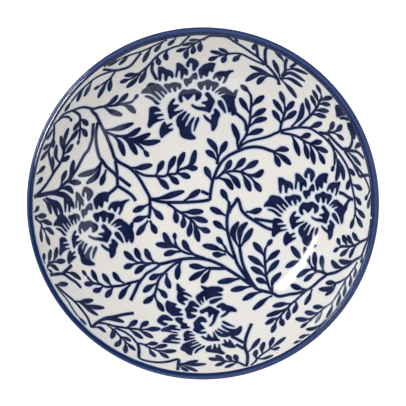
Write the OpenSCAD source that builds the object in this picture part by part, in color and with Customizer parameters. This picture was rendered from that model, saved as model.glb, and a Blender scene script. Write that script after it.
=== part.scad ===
// Small round dish for soy sauce: a porcelain bowl on a luted foot ring, with clear glaze inside,
// outside and under the base, and a cobalt band over the lip.
// The origin is in the middle of the standing face, with +Z up. Lengths are in millimetres.

/* [Bowl] */
// Diameter over the outside of the lip
dish_d = 95; // [84:1:112]
// Height from the table to the top of the lip
dish_h = 30; // [26:1:36]
// Diameter of the flat floor in the middle of the well
well_d = 19; // [12:1:28]
// Thickness of the wall at the lip, with its glaze
lip_t = 1.8; // [1.4:0.1:2.6]
// Thickness of the floor in the middle, with its glaze
floor_t = 3.2; // [2.6:0.1:4.4]

/* [Foot ring] */
// Outer diameter of the foot ring on the table
foot_d = 44; // [38:1:50]
// Width of the foot ring on the table
foot_w = 3; // [2.4:0.1:4]
// Height of the underside's middle above the table
recess_h = 2.8; // [2.2:0.1:4]
// Lean of the foot ring's two sides, in degrees
foot_draft = 8; // [2:1:14]
// Rounding of the foot ring's two standing edges
foot_edge_r = 0.5; // [0.2:0.1:0.9]

/* [Glaze] */
// Thickness of every coat of glaze
glaze_t = 0.25; // [0.15:0.05:0.4]
// Height of the bare clay left at the bottom of the foot ring
bare_h = 1.2; // [0.9:0.1:1.5]
// Radius of the glaze that pools where the bowl meets the foot ring
pool_r = 1.2; // [0.8:0.1:1.6]

/* [Cobalt band] */
// Width of the band on the inner wall, below the round of the lip
band_in_w = 0.2; // [0.1:0.1:2]
// Width of the band on the outer wall, below the round of the lip
band_out_w = 1.4; // [0.6:0.1:3]

/* [Smoothness] */
// Largest gap between a curve and its chords
curve_gap = 0.01; // [0.005:0.005:0.03]

/* [Hidden] */

biscuit_colour = "#d9cfc0";
glaze_colour = "#ece8e0";
cobalt_colour = "#2c3f78";

// Sides of a revolved solid in a preview
turn_sides = 180;
// Fewest chords in any curve
fewest_chords = 4;

// The lip is round: this is its radius, and the middle of its section
lip_r = lip_t / 2;
lip_c = [dish_d / 2 - lip_r, dish_h - lip_r];

// The well's floor runs tangent into one arc, which runs tangent into the lip
well_r = well_d / 2;
floor_z = recess_h + floor_t;
lip_run = lip_c.x - well_r;
well_rise = lip_c.y - floor_z;
inner_r = (lip_run * lip_run + well_rise * well_rise - lip_r * lip_r) / (2 * (well_rise + lip_r));
inner_c = [well_r, floor_z + inner_r];

// The underside does the same, and ends nearer the lip's outer side, so the wall thins upwards
under_rise = lip_c.y - recess_h;
outer_r = (lip_run * lip_run + under_rise * under_rise - lip_r * lip_r) / (2 * (under_rise - lip_r));
outer_c = [well_r, recess_h + outer_r];

// Angles on the two arcs, measured at their centres from straight down
inner_lip_a = down_angle(inner_c, lip_c);
outer_lip_a = down_angle(outer_c, lip_c);
inner_band_a = inner_lip_a - degrees(band_in_w / inner_r);
outer_band_a = outer_lip_a - degrees(band_out_w / outer_r);

// Each side of the foot ring is a straight line from the table: a start, a way up and a way out
foot_r = foot_d / 2;
foot_in_r = foot_r - foot_w;
outside_start = [foot_r, 0];
outside_up = [sin(foot_draft), cos(foot_draft)];
outside_out = [cos(foot_draft), -sin(foot_draft)];
inside_start = [foot_in_r, 0];
inside_up = [-sin(foot_draft), cos(foot_draft)];
inside_out = [-cos(foot_draft), -sin(foot_draft)];

// Where the sides of the foot ring meet the bare underside of the bowl
outside_seat_a = down_angle(outer_c, meet(outside_start, outside_up, outer_c, outer_r - glaze_t));
inside_seat_a = down_angle(outer_c, meet(inside_start, inside_up, outer_c, outer_r - glaze_t));

// Centres of the pools of glaze in the two corners beside the foot ring
outside_pool_c = meet(outside_start + outside_out * (glaze_t + pool_r), outside_up, outer_c, outer_r + pool_r);
inside_pool_c = meet(inside_start + inside_out * (glaze_t + pool_r), inside_up, outer_c, outer_r + pool_r);
outside_pool_a = down_angle(outer_c, outside_pool_c);
inside_pool_a = down_angle(outer_c, inside_pool_c);

// Length along a leaning side that gains the height of the bare clay
bare_run = bare_h / cos(foot_draft);

function degrees(radians) = radians * 180 / PI;
function heading(v) = atan2(v.y, v.x);
function down_angle(centre, point) = atan2(point.x - centre.x, centre.y - point.y);

// First point where a line going up meets a circle
function meet(start, up, centre, r) =
    let (v = start - centre, along = v * up, out = v * v - r * r)
    start + up * (-along - sqrt(along * along - out));

// Points on a circle between two headings. The count follows size_r, so that concentric arcs match
function arc(centre, r, from, to, size_r) =
    let (step = 2 * acos(1 - curve_gap / size_r),
         chords = max(fewest_chords, ceil(abs(to - from) / step)))
    [for (i = [0 : chords])
        let (a = from + (to - from) * i / chords)
        centre + r * [cos(a), sin(a)]];

// The same, with the angles measured from straight down
function bowl_arc(centre, r, from, to, size_r) = arc(centre, r, from - 90, to - 90, size_r);

// The finished surface, sunk by a depth into the wall, in five stretches from the well to the base
function well_curve(depth) = concat(
    [[0, floor_z - depth]],
    bowl_arc(inner_c, inner_r + depth, 0, inner_band_a, inner_r));

function lip_curve(depth) = concat(
    bowl_arc(inner_c, inner_r + depth, inner_band_a, inner_lip_a, inner_r),
    arc(lip_c, lip_r - depth, heading(inner_c - lip_c), heading(lip_c - outer_c), lip_r),
    bowl_arc(outer_c, outer_r - depth, outer_lip_a, outer_band_a, outer_r));

function wall_curve(depth, lowest_a) =
    bowl_arc(outer_c, outer_r - depth, outer_band_a, lowest_a, outer_r);

function seat_curve(depth) =
    bowl_arc(outer_c, outer_r - depth, outside_seat_a, inside_seat_a, outer_r);

function base_curve(depth, highest_a) = concat(
    bowl_arc(outer_c, outer_r - depth, highest_a, 0, outer_r),
    [[0, recess_h + depth]]);

// A list of points the other way round
function reversed(points) = [for (i = [len(points) - 1 : -1 : 0]) points[i]];

// Neighbouring points that coincide are kept once
function distinct(points) =
    [for (i = [0 : len(points) - 1])
        if (i == 0 || norm(points[i] - points[i - 1]) > curve_gap * coincide_share) points[i]];
coincide_share = 0.01;

// Glaze pooled in a corner, from the foot ring's side to the underside of the bowl
function pool_curve(centre, side_out) =
    arc(centre, pool_r, heading(-side_out), heading(outer_c - centre), pool_r);

// The edge of a coat on the foot ring: from the bare side out to the coat's own face
function glaze_line(start, up, out) = [start + up * bare_run, start + up * bare_run + out * glaze_t];

module turned(points) {
    rotate_extrude($fn = turn_sides) polygon(distinct(points));
}

// The pressed bowl before its glaze: floor, wall and lip
module bowl_body() {
    color(biscuit_colour)
        turned(concat(
            well_curve(glaze_t),
            lip_curve(glaze_t),
            wall_curve(glaze_t, outside_seat_a),
            seat_curve(glaze_t),
            base_curve(glaze_t, inside_seat_a)));
}

// The ring that the dish stands on, luted to the underside with slip
module foot_ring() {
    edge_tangent = foot_edge_r * tan((90 - foot_draft) / 2);
    outside_edge_c = [foot_r - edge_tangent, foot_edge_r];
    inside_edge_c = [foot_in_r + edge_tangent, foot_edge_r];
    color(biscuit_colour)
        turned(concat(
            seat_curve(glaze_t),
            arc(inside_edge_c, foot_edge_r, 180 + foot_draft, 270, foot_edge_r),
            arc(outside_edge_c, foot_edge_r, -90, -foot_draft, foot_edge_r)));
}

// Clear glaze over the floor and the inner wall, up to the band
module inner_glaze() {
    color(glaze_colour)
        turned(concat(well_curve(0), reversed(well_curve(glaze_t))));
}

// Clear glaze over the outer wall, from the band down to the foot ring's bare clay
module outer_glaze() {
    color(glaze_colour)
        turned(concat(
            reversed(glaze_line(outside_start, outside_up, outside_out)),
            reversed(wall_curve(glaze_t, outside_seat_a)),
            wall_curve(0, outside_pool_a),
            reversed(pool_curve(outside_pool_c, outside_out))));
}

// Clear glaze over the underside, inside the foot ring
module base_glaze() {
    color(glaze_colour)
        turned(concat(
            glaze_line(inside_start, inside_up, inside_out),
            pool_curve(inside_pool_c, inside_out),
            base_curve(0, inside_pool_a),
            reversed(base_curve(glaze_t, inside_seat_a))));
}

// Cobalt glaze that wraps the round of the lip
module rim_band() {
    color(cobalt_colour)
        turned(concat(lip_curve(0), reversed(lip_curve(glaze_t))));
}

bowl_body();
foot_ring();
inner_glaze();
outer_glaze();
base_glaze();
rim_band();
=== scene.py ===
"""Soy sauce dish in blue and white: glazed coats, cobalt lip, foot ring and the print on the well."""

import math

import bmesh
import bpy
import mathutils
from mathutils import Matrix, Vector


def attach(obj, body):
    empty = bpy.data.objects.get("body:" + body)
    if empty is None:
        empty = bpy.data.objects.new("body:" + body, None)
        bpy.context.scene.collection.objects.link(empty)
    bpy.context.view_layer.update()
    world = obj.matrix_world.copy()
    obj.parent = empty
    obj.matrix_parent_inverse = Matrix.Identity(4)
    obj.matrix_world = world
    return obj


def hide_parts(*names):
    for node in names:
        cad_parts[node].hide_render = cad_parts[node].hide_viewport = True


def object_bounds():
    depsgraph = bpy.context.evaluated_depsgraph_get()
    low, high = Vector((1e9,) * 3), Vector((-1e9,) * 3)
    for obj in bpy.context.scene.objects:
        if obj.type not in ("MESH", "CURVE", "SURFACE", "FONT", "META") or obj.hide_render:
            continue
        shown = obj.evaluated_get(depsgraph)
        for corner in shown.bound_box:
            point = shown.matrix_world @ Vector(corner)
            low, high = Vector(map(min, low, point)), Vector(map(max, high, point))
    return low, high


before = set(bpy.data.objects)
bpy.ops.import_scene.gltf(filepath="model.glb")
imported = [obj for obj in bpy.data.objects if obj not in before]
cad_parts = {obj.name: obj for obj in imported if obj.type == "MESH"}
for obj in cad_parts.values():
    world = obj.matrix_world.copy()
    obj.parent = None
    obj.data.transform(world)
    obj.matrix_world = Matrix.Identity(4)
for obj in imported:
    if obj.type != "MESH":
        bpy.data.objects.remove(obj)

bl_info = {
    "name": "Blue and White Sauce Dish",
    "version": (1, 0, 0),
    "blender": (4, 5, 0),
    "location": "3D View > Sidebar > Sauce Dish",
    "description": "Builds the coats, the print and the stage of a small porcelain sauce dish",
    "category": "Object",
}

CAD_BOX = [list(corner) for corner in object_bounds()]
MM = 0.001
BODY = "root"

# The print's places are seen from above, in hundredths of the rim's radius, with +y towards the far side.
# The print as a whole sits this far off the middle
PRINT_SHIFT = (-0.28, 0.29)
# A bough is a stem that ends bare: its points from root to end, and the tips of its leaves
BOUGHS = [
    ([(97, -8), (97, 9), (93.5, 26), (86, 44.5), (75.5, 61), (61.5, 75), (44, 86.5), (24.5, 94), (3, 97),
      (-19, 95), (-40, 88.5), (-57, 78.5)], []),
    ([(-28.2, 79.9), (-28.7, 75.7), (-27.2, 72.3), (-25.7, 70)], []),
    ([(-56.5, 75.8), (-50, 75.2), (-45.1, 76.1), (-41.3, 77.6), (-39, 79.9), (-36.7, 82.9),
      (-34.8, 85.2)], []),
    ([(-96.4, 3.3), (-92.4, 6), (-89, 10.1), (-86, 14.7), (-83.7, 18.5), (-81.4, 21.7), (-79.5, 25.7),
      (-78.4, 30.3), (-76.5, 33.7), (-73.8, 37.5), (-70.8, 41)],
     [(-80.6, 38.2), (-85.2, 26.5), (-75.3, 26.5)]),
    ([(-84, 45.4), (-84.2, 42.4), (-84.4, 37.5), (-85.6, 34), (-87.3, 29.5), (-87.1, 27.2), (-86.3, 23.4),
      (-84.8, 17.7)], [(-84.8, 31), (-92, 24), (-91, 30.5), (-89.5, 36)]),
    ([(-96.4, 3.3), (-90.5, 5), (-84.8, 6.2), (-81.8, 7.4), (-79.9, 9.6), (-77.2, 12), (-74.9, 13.9),
      (-73.4, 16.6), (-71.1, 20), (-68.9, 24.2), (-67, 27.6), (-65.1, 29.9), (-63.6, 33.7), (-62.6, 37.5),
      (-62, 45.4)], [(-68.9, 11.3)]),
    ([(-96.4, 3.6), (-91, 4.3), (-86, 5.6), (-82, 7)], []),
    ([(-63.5, 53.7), (-62, 51.4), (-60.5, 50), (-59, 47), (-57.5, 43.9), (-55.2, 39.4), (-53.3, 34.8),
      (-51.8, 31), (-50.6, 27.2), (-50, 25.7), (-47.7, 23.4), (-44.3, 21.5), (-41.6, 20), (-39, 17.7),
      (-37.1, 15.5), (-34.8, 12), (-32.9, 8.6), (-31, 5.2), (-29.9, 2.2), (-29.9, -4.9), (-30.6, -9.1)],
     []),
    ([(-59.5, 46), (-60.5, 40.5), (-60.5, 34.8), (-59.8, 30.3), (-58.6, 26.1), (-57, 24), (-54.4, 20.4),
      (-50, 16.6), (-48.6, 14.5)], []),
    ([(-49.6, 24.2), (-48.7, 17.7), (-48.5, 13.9), (-48.3, 10.1)], []),
    ([(-47.7, 14.7), (-44.3, 12), (-40.9, 9.4)], []),
    ([(-48.5, 9.8), (-43.5, 6.7), (-40.1, 4.1), (-37.9, 1)], []),
    ([(-48.3, 9.8), (-50, 7.9), (-52, 6.3), (-54, 4.5)], []),
    ([(-29.5, 2.2), (-25.3, 1), (-20.4, 0.3), (-12, 0.3), (-6.3, 0.5), (0, 1), (4.2, 1.8)], []),
    ([(-0.6, 6.7), (3.6, 4.8)], []),
    ([(4.2, 1.4), (4.6, 5.2), (5.3, 9.8), (6.1, 13.2), (7.6, 17), (9.1, 20.4), (11.4, 23.8), (14.4, 26.5),
      (17.8, 28.4), (21.3, 29.9), (24.7, 31.2), (29.6, 31.9), (34.2, 31.4), (38, 30.1), (40.5, 29.2)],
     []),
    ([(8.4, 21.9), (8.9, 25.7)], []),
    ([(25.1, 40.9), (24.7, 45.1), (23.2, 47.7), (20.5, 50), (18.5, 51.5)], []),
    ([(67.8, 39.7), (71.3, 39), (74.3, 36), (77.3, 32.9), (80, 30.6), (82.3, 29.9), (85.3, 29.5),
      (88, 28.9), (91.8, 25.3)], []),
    ([(80.5, 30.6), (83.4, 31), (84.9, 34), (85.1, 37.5), (84.2, 39.7)], []),
    ([(80.8, 29.5), (83.4, 25.7), (85.7, 22.3), (87.2, 19.2), (89.5, 14.7)], []),
    ([(86.4, 21.5), (89.1, 18.5), (91.4, 15.5)], []),
    ([(89.5, 14.7), (91.4, 15.5), (95, 15.8)], []),
    ([(77.7, 5.9), (80.4, 5), (82.6, 3.4), (85.7, 1.7)], []),
    ([(83.9, 2), (82.4, 0), (81.5, -4)], []),
    ([(0, 92.4), (2.3, 93.9), (4.9, 94.7), (11.4, 94.5), (14.8, 93.7), (18.2, 91.5), (21.3, 89.7),
      (25.1, 87.3), (28.1, 85.2), (31.5, 82.9), (35.3, 79.3), (38, 76.8), (40.6, 73.8), (42.9, 70.4),
      (43.7, 67)], []),
    ([(18.6, 94.3), (19.9, 91.3)], []),
    ([(31.5, 83.3), (30.9, 87.5), (30.4, 91.3)], []),
    ([(36.1, 78), (35.7, 81.8), (35.7, 86.3), (37.2, 89)], []),
    ([(43.3, 70), (40.2, 71.9), (37.2, 72.5)], [(26.6, 78)]),
    ([(45.2, 71.9), (47.1, 74.9), (47.1, 78.7), (48, 82)], [(41, 86.7)]),
    ([(50, 76.8), (53.6, 79.5)], []),
    ([(15.2, 0.5), (15.2, -2.3), (14.2, -7.6), (14, -12.1), (14.4, -16.3), (15.6, -21.3), (17.1, -26.6),
      (18.6, -30.8), (19.7, -34.2), (22, -38), (24.3, -41.4), (26.6, -44.5), (28.5, -46.8), (31, -49)],
     []),
    ([(15, -6), (16.3, -3), (18.6, 0), (20, 2.5), (21.3, -0.5), (22.4, -4.2), (25.1, -7.2), (28.5, -9.5),
      (32.3, -11.8), (36.1, -14), (40.5, -15.6)], []),
    ([(29.5, -9.2), (34, -9.8), (40, -10.8)], []),
    ([(30, -47.8), (28.1, -45.2), (25.8, -41), (23.9, -37.2), (22.4, -32.3), (21.3, -25.8)], []),
    ([(31.5, -49.4), (28.9, -47.1), (26.6, -45.9), (22.8, -43.3), (18.2, -40.2), (14, -37.6),
      (10.3, -35.3), (4.9, -33), (0, -31.9), (-5, -31.6), (-10.1, -31.9), (-13.9, -32.6), (-17.7, -33.4),
      (-21.5, -34.4), (-24.2, -34.9)], []),
    ([(14, -37.4), (7.6, -37.4), (3.4, -37.2)], []),
    ([(-34.8, -43.7), (-36.7, -46.7), (-38.2, -50), (-40.9, -55.7)], []),
    ([(96, -9), (95.3, -14), (94.4, -18), (93.7, -21.3), (91.8, -26.2), (89.9, -30.4), (86.4, -32.6),
      (83.4, -35.3), (80, -37.2), (75.8, -39.5), (71.3, -40.6), (69.7, -41.8), (66.7, -44), (63.3, -47.1),
      (59.9, -49.4), (53.8, -51.5), (50, -52), (43.7, -53.2), (40, -51.5), (35, -50.3), (31.5, -49.4)],
     []),
    ([(70.5, -40.6), (68.5, -39.4), (66.5, -39), (64.8, -38.9), (63.5, -37.4), (61.8, -36.8)], []),
    ([(25.1, -93.5), (25.6, -89.9), (25.6, -86.1), (24.3, -82.6), (24.3, -79.6), (25.1, -75.8),
      (26.6, -72), (28.1, -68.6)], []),
    ([(23.5, -79.6), (20.1, -77.7), (16.3, -75.8)], []),
    ([(23.9, -83), (19, -80.4)], []),
    ([(-87.5, -41.4), (-83.7, -40.6), (-79.1, -40.4), (-75.3, -42.9), (-71.9, -45.2), (-68.9, -48.4)],
     []),
    ([(-79.1, -39.9), (-76.5, -37.6), (-74.2, -35.3)], []),
    ([(-83, -46.5), (-78.7, -50.8), (-74.2, -54.6), (-71.1, -57.6), (-67.7, -61.8), (-65.1, -65.6),
      (-62.8, -71)], []),
    ([(-62.6, -70.8), (-60.5, -68.6), (-57.5, -66.7), (-54.4, -65.4), (-50, -64.7), (-45.1, -63.6),
      (-39, -62.7)], []),
    ([(-36.7, -80), (-36, -83.4), (-36, -87.6), (-34.8, -88.7), (-31, -89.9), (-25.3, -90.6),
      (-19.6, -90.2), (-13.9, -88.9), (-13.6, -91.4), (-14.1, -95.5)], []),
]

# A sprig is a stem whose last point is the tip of its end leaf
SPRIGS = [
    ([(-20, 92.6), (-23.4, 91.1), (-27.2, 89.4), (-30.1, 87.9), (-34.8, 85.9), (-39.7, 84.4),
      (-45.1, 82.4), (-53.8, 77.6)], [(-33.7, 79.7)]),
    ([(-7, 95), (-10, 92.2), (-12.6, 89.6), (-15.8, 88.6), (-19.6, 87.1), (-23.8, 85), (-27.2, 82),
      (-30.3, 78.4), (-33.3, 75.7), (-35.6, 73.9), (-40.4, 70.8), (-47, 68.5)], [(-24.4, 78.2)]),
    ([(-50, 75.2), (-54.4, 73.8), (-58.2, 72.3), (-62, 70), (-65, 67.5), (-70, 62.8), (-74, 58),
      (-78.2, 51.8)], []),
    ([(-48.5, 76), (-51.8, 71.5), (-53.7, 69.6), (-57.1, 67.3), (-61.8, 64.3)],
     [(-59.4, 59.4), (-52.9, 63.2)]),
    ([(-82, 46.5), (-79.3, 50), (-74.2, 52.3), (-70, 53.9), (-67, 54.4), (-64.3, 53.9), (-62, 53.5),
      (-58.6, 54.4), (-55, 54.9), (-50, 55.5), (-46.2, 56.3), (-42.4, 56.9), (-39.7, 57.9),
      (-36.5, 62)], []),
    ([(-83.7, 45.1), (-81, 47.5), (-78.7, 48.9), (-75.7, 48.5), (-74.2, 46.2)], []),
    ([(-73.5, 52.4), (-71.1, 51), (-69.6, 49.2), (-69.6, 45), (-69.6, 41.3), (-70, 37.1), (-71, 32.9)],
     [(-73.4, 40.9)]),
    ([(-55.2, 40.5), (-50, 38.4), (-44.3, 37.5), (-40.5, 35.6), (-37.1, 33.7), (-34.1, 31),
      (-30.6, 26.1)], []),
    ([(-38.6, 18.5), (-34.8, 16.4), (-31.8, 15.5), (-27.2, 15.3), (-21.9, 15.1), (-19.6, 16.2),
      (-15.1, 16.6), (-12.8, 18.9), (-10.1, 19.6), (-2.5, 19.8)],
     [(-19.1, 7.7), (-13.4, 10.5), (-6.7, 14.3)]),
    ([(7.2, 13.6), (9.5, 15.1), (11.8, 17), (15.2, 17.9), (18.6, 18.1), (22.4, 17.5), (25.1, 16.2),
      (28.1, 13.9), (33.6, 6.3)], []),
    ([(20.9, 31), (22, 34.4), (24.3, 37.5), (25.4, 40.1), (26.2, 43.2), (27.1, 46.2), (27.3, 50),
      (27.5, 53.3), (27.9, 56.3), (27.1, 62), (21.8, 67.3)], [(34.9, 41.8), (36.3, 53.7), (35.3, 61.1)]),
    ([(21.3, 31.8), (24.3, 34.1), (28.1, 35.6), (34.2, 36.9), (38, 38), (41.4, 39.6), (44, 40.9),
      (44.8, 44.3), (45.6, 47), (46.5, 50), (47.1, 54.4), (44.2, 63.6)],
     [(40.2, 59), (39.9, 52.9), (52.3, 57.9)]),
    ([(44, 40.9), (50, 42.2), (54.9, 43), (60.6, 42.6), (63.3, 41.3), (66.3, 39.4), (69, 37.5),
      (71.3, 35.2), (73.5, 32.5), (74.9, 29.5), (75.2, 25.7), (75.2, 22.3), (73.5, 17.7)],
     [(68.2, 45.8)]),
    ([(54.9, 43.5), (61.8, 50), (65.2, 54.4), (66.5, 57.5), (67.7, 60.5), (64.8, 67.3)],
     [(62.7, 64.3), (61.6, 61.3), (58.7, 59.8), (73.9, 60.1), (72.8, 55.8), (72, 52.2), (70.5, 48.9)]),
    ([(44.5, 40), (50, 39), (53.8, 37.9), (56.8, 36), (59.5, 34.4), (62.1, 33.3), (65.2, 30.3),
      (69.7, 21.9)], [(61.8, 39.2), (68.2, 35), (71.6, 28.9), (55.3, 26.5), (60.3, 24.8), (63.7, 21.7)]),
    ([(66.3, 40.1), (70.1, 39.7), (73.2, 40.1), (75.1, 39.7), (80.6, 35.8)], []),
    ([(91.8, 15.1), (93.3, 12), (94.8, 7.9), (94.5, 5.5), (92.3, 1.6)], []),
    ([(71.3, 36.7), (74.7, 31.8), (77.3, 28.7), (80, 24.9), (82.3, 20.8), (83.4, 17.4), (84.2, 13.9),
      (85, 9.8), (85.9, 5.6), (86.5, 2.2), (86.9, -3), (86.6, -7.2), (84.2, -14.8)],
     [(86.8, 15.6), (81.9, 7.3)]),
    ([(2, 93.6), (-0.8, 92.6), (-3.5, 90.9), (-5.5, 89.8), (-7.3, 88.5), (-15, 85.9)], []),
    ([(35.3, 78.4), (30.4, 80.6), (26.2, 82.7), (22.8, 84.4), (19, 85), (14.4, 84.6), (9.9, 83.7),
      (3.4, 81)], [(9.3, 87.9), (4.4, 86.3), (11.4, 79.5), (17.5, 80.3)]),
    ([(-20, -0.4), (-17, -2.3), (-14.7, -4.2), (-9.8, -7.2), (-7.1, -9.1), (-4.8, -11.4), (-2.9, -13.7),
      (4.6, -16.7)], [(-14.7, -11.8), (-7.9, -19.4), (-2, -22.4)]),
    ([(19.4, -32.6), (16.7, -30.4), (14, -27.7), (12.5, -24.7), (8, -19.4)], []),
    ([(1.5, -31.6), (-2.5, -30.4), (-5.6, -29.2), (-8.2, -28.9), (-12, -27.3), (-14.3, -25.2),
      (-15.5, -22.4), (-15.9, -16.9)], []),
    ([(-24.2, -34.9), (-27.2, -34.2), (-31, -34.6), (-34.4, -34.1), (-37.6, -34.5), (-44.9, -37.1)], []),
    ([(-23.8, -34.9), (-27.2, -37.6), (-31.8, -40.2), (-34.8, -43.7), (-39.4, -45.2), (-42.4, -45.9),
      (-46.2, -47.1), (-50, -47.5), (-55.2, -47.8), (-57.9, -46.3), (-62, -45.6), (-65.1, -42.5),
      (-68.5, -38.3)], [(-56.9, -40.1), (-67.3, -46.3)]),
    ([(-12, -33), (-15.8, -34.9), (-19.6, -38), (-22.3, -40.6), (-24.9, -44), (-25.7, -46.7),
      (-26.5, -50), (-26.9, -53.8), (-22, -62)], []),
    ([(39.9, -51), (38, -47.8), (36.8, -43.7), (36.1, -39.9), (35.7, -34.2), (35.5, -30.4), (36.1, -25.8),
      (39.9, -20.7)],
     [(28.9, -22.4), (26, -30.2), (27.5, -36.6), (30.4, -43.1), (44.2, -27), (43.8, -32.6)]),
    ([(95, -20), (92.5, -20.9), (89.9, -22.2), (87, -24), (84, -24.7), (81, -24.8), (78.7, -25),
      (74.4, -27.9)], []),
    ([(88, -33.5), (86.4, -36.6), (84.4, -39.6), (82.4, -42.1), (80, -43.8), (76.8, -45.3),
      (70, -45.4)], []),
    ([(82, -42.5), (80.4, -45.6), (78, -49.6), (76, -53), (73.5, -56.5), (70.5, -58.8), (68.4, -60.5),
      (66, -62.6), (63, -65.1), (61, -67.1), (55.7, -71)], []),
    ([(59.1, -50), (55.7, -53), (53, -55.6), (50.6, -57.5), (48.8, -59.5), (46.3, -62.2), (44, -64.9),
      (42.4, -66.7), (39.5, -74)], []),
    ([(24.7, -92.7), (21.3, -91), (17.8, -90.1), (14, -90), (11, -89.7), (3.4, -88.3)],
     [(18.4, -86.1), (13.7, -86.3), (7.4, -86.6), (12.7, -93.7), (7.2, -92.7)]),
    ([(27.8, -93), (30.2, -90), (31, -88.6), (34.3, -85.8), (38.2, -83.2), (47.4, -76.2)], []),
    ([(-95, -8.5), (-92.8, -10.5), (-91.5, -12), (-91, -14), (-89.6, -16), (-86.7, -24.3)], []),
    ([(-88, -37), (-87.3, -34.8), (-85, -33.7), (-77.8, -32.9)], []),
    ([(-83.5, -46.5), (-81, -50), (-78.7, -52.7), (-76.1, -56.1), (-73.8, -59.9), (-71.1, -63.7),
      (-65.8, -69.4)], []),
    ([(-60.1, -68.2), (-55.2, -68.6), (-50, -70.1), (-46.2, -70.7), (-42.4, -71.3), (-37.5, -71.8),
      (-34.7, -72.1), (-23.7, -71.6)], []),
    ([(-49.6, -71), (-45, -73), (-41.5, -75.2), (-39, -77.5), (-37.3, -79.6), (-34, -80.3), (-31, -81.8),
      (-28.5, -82.8), (-26, -83.8), (-19, -88.4)], []),
    ([(-50.5, -71.5), (-48, -74.5), (-46.5, -76), (-44, -78.5), (-38, -84)], []),
]

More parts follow.
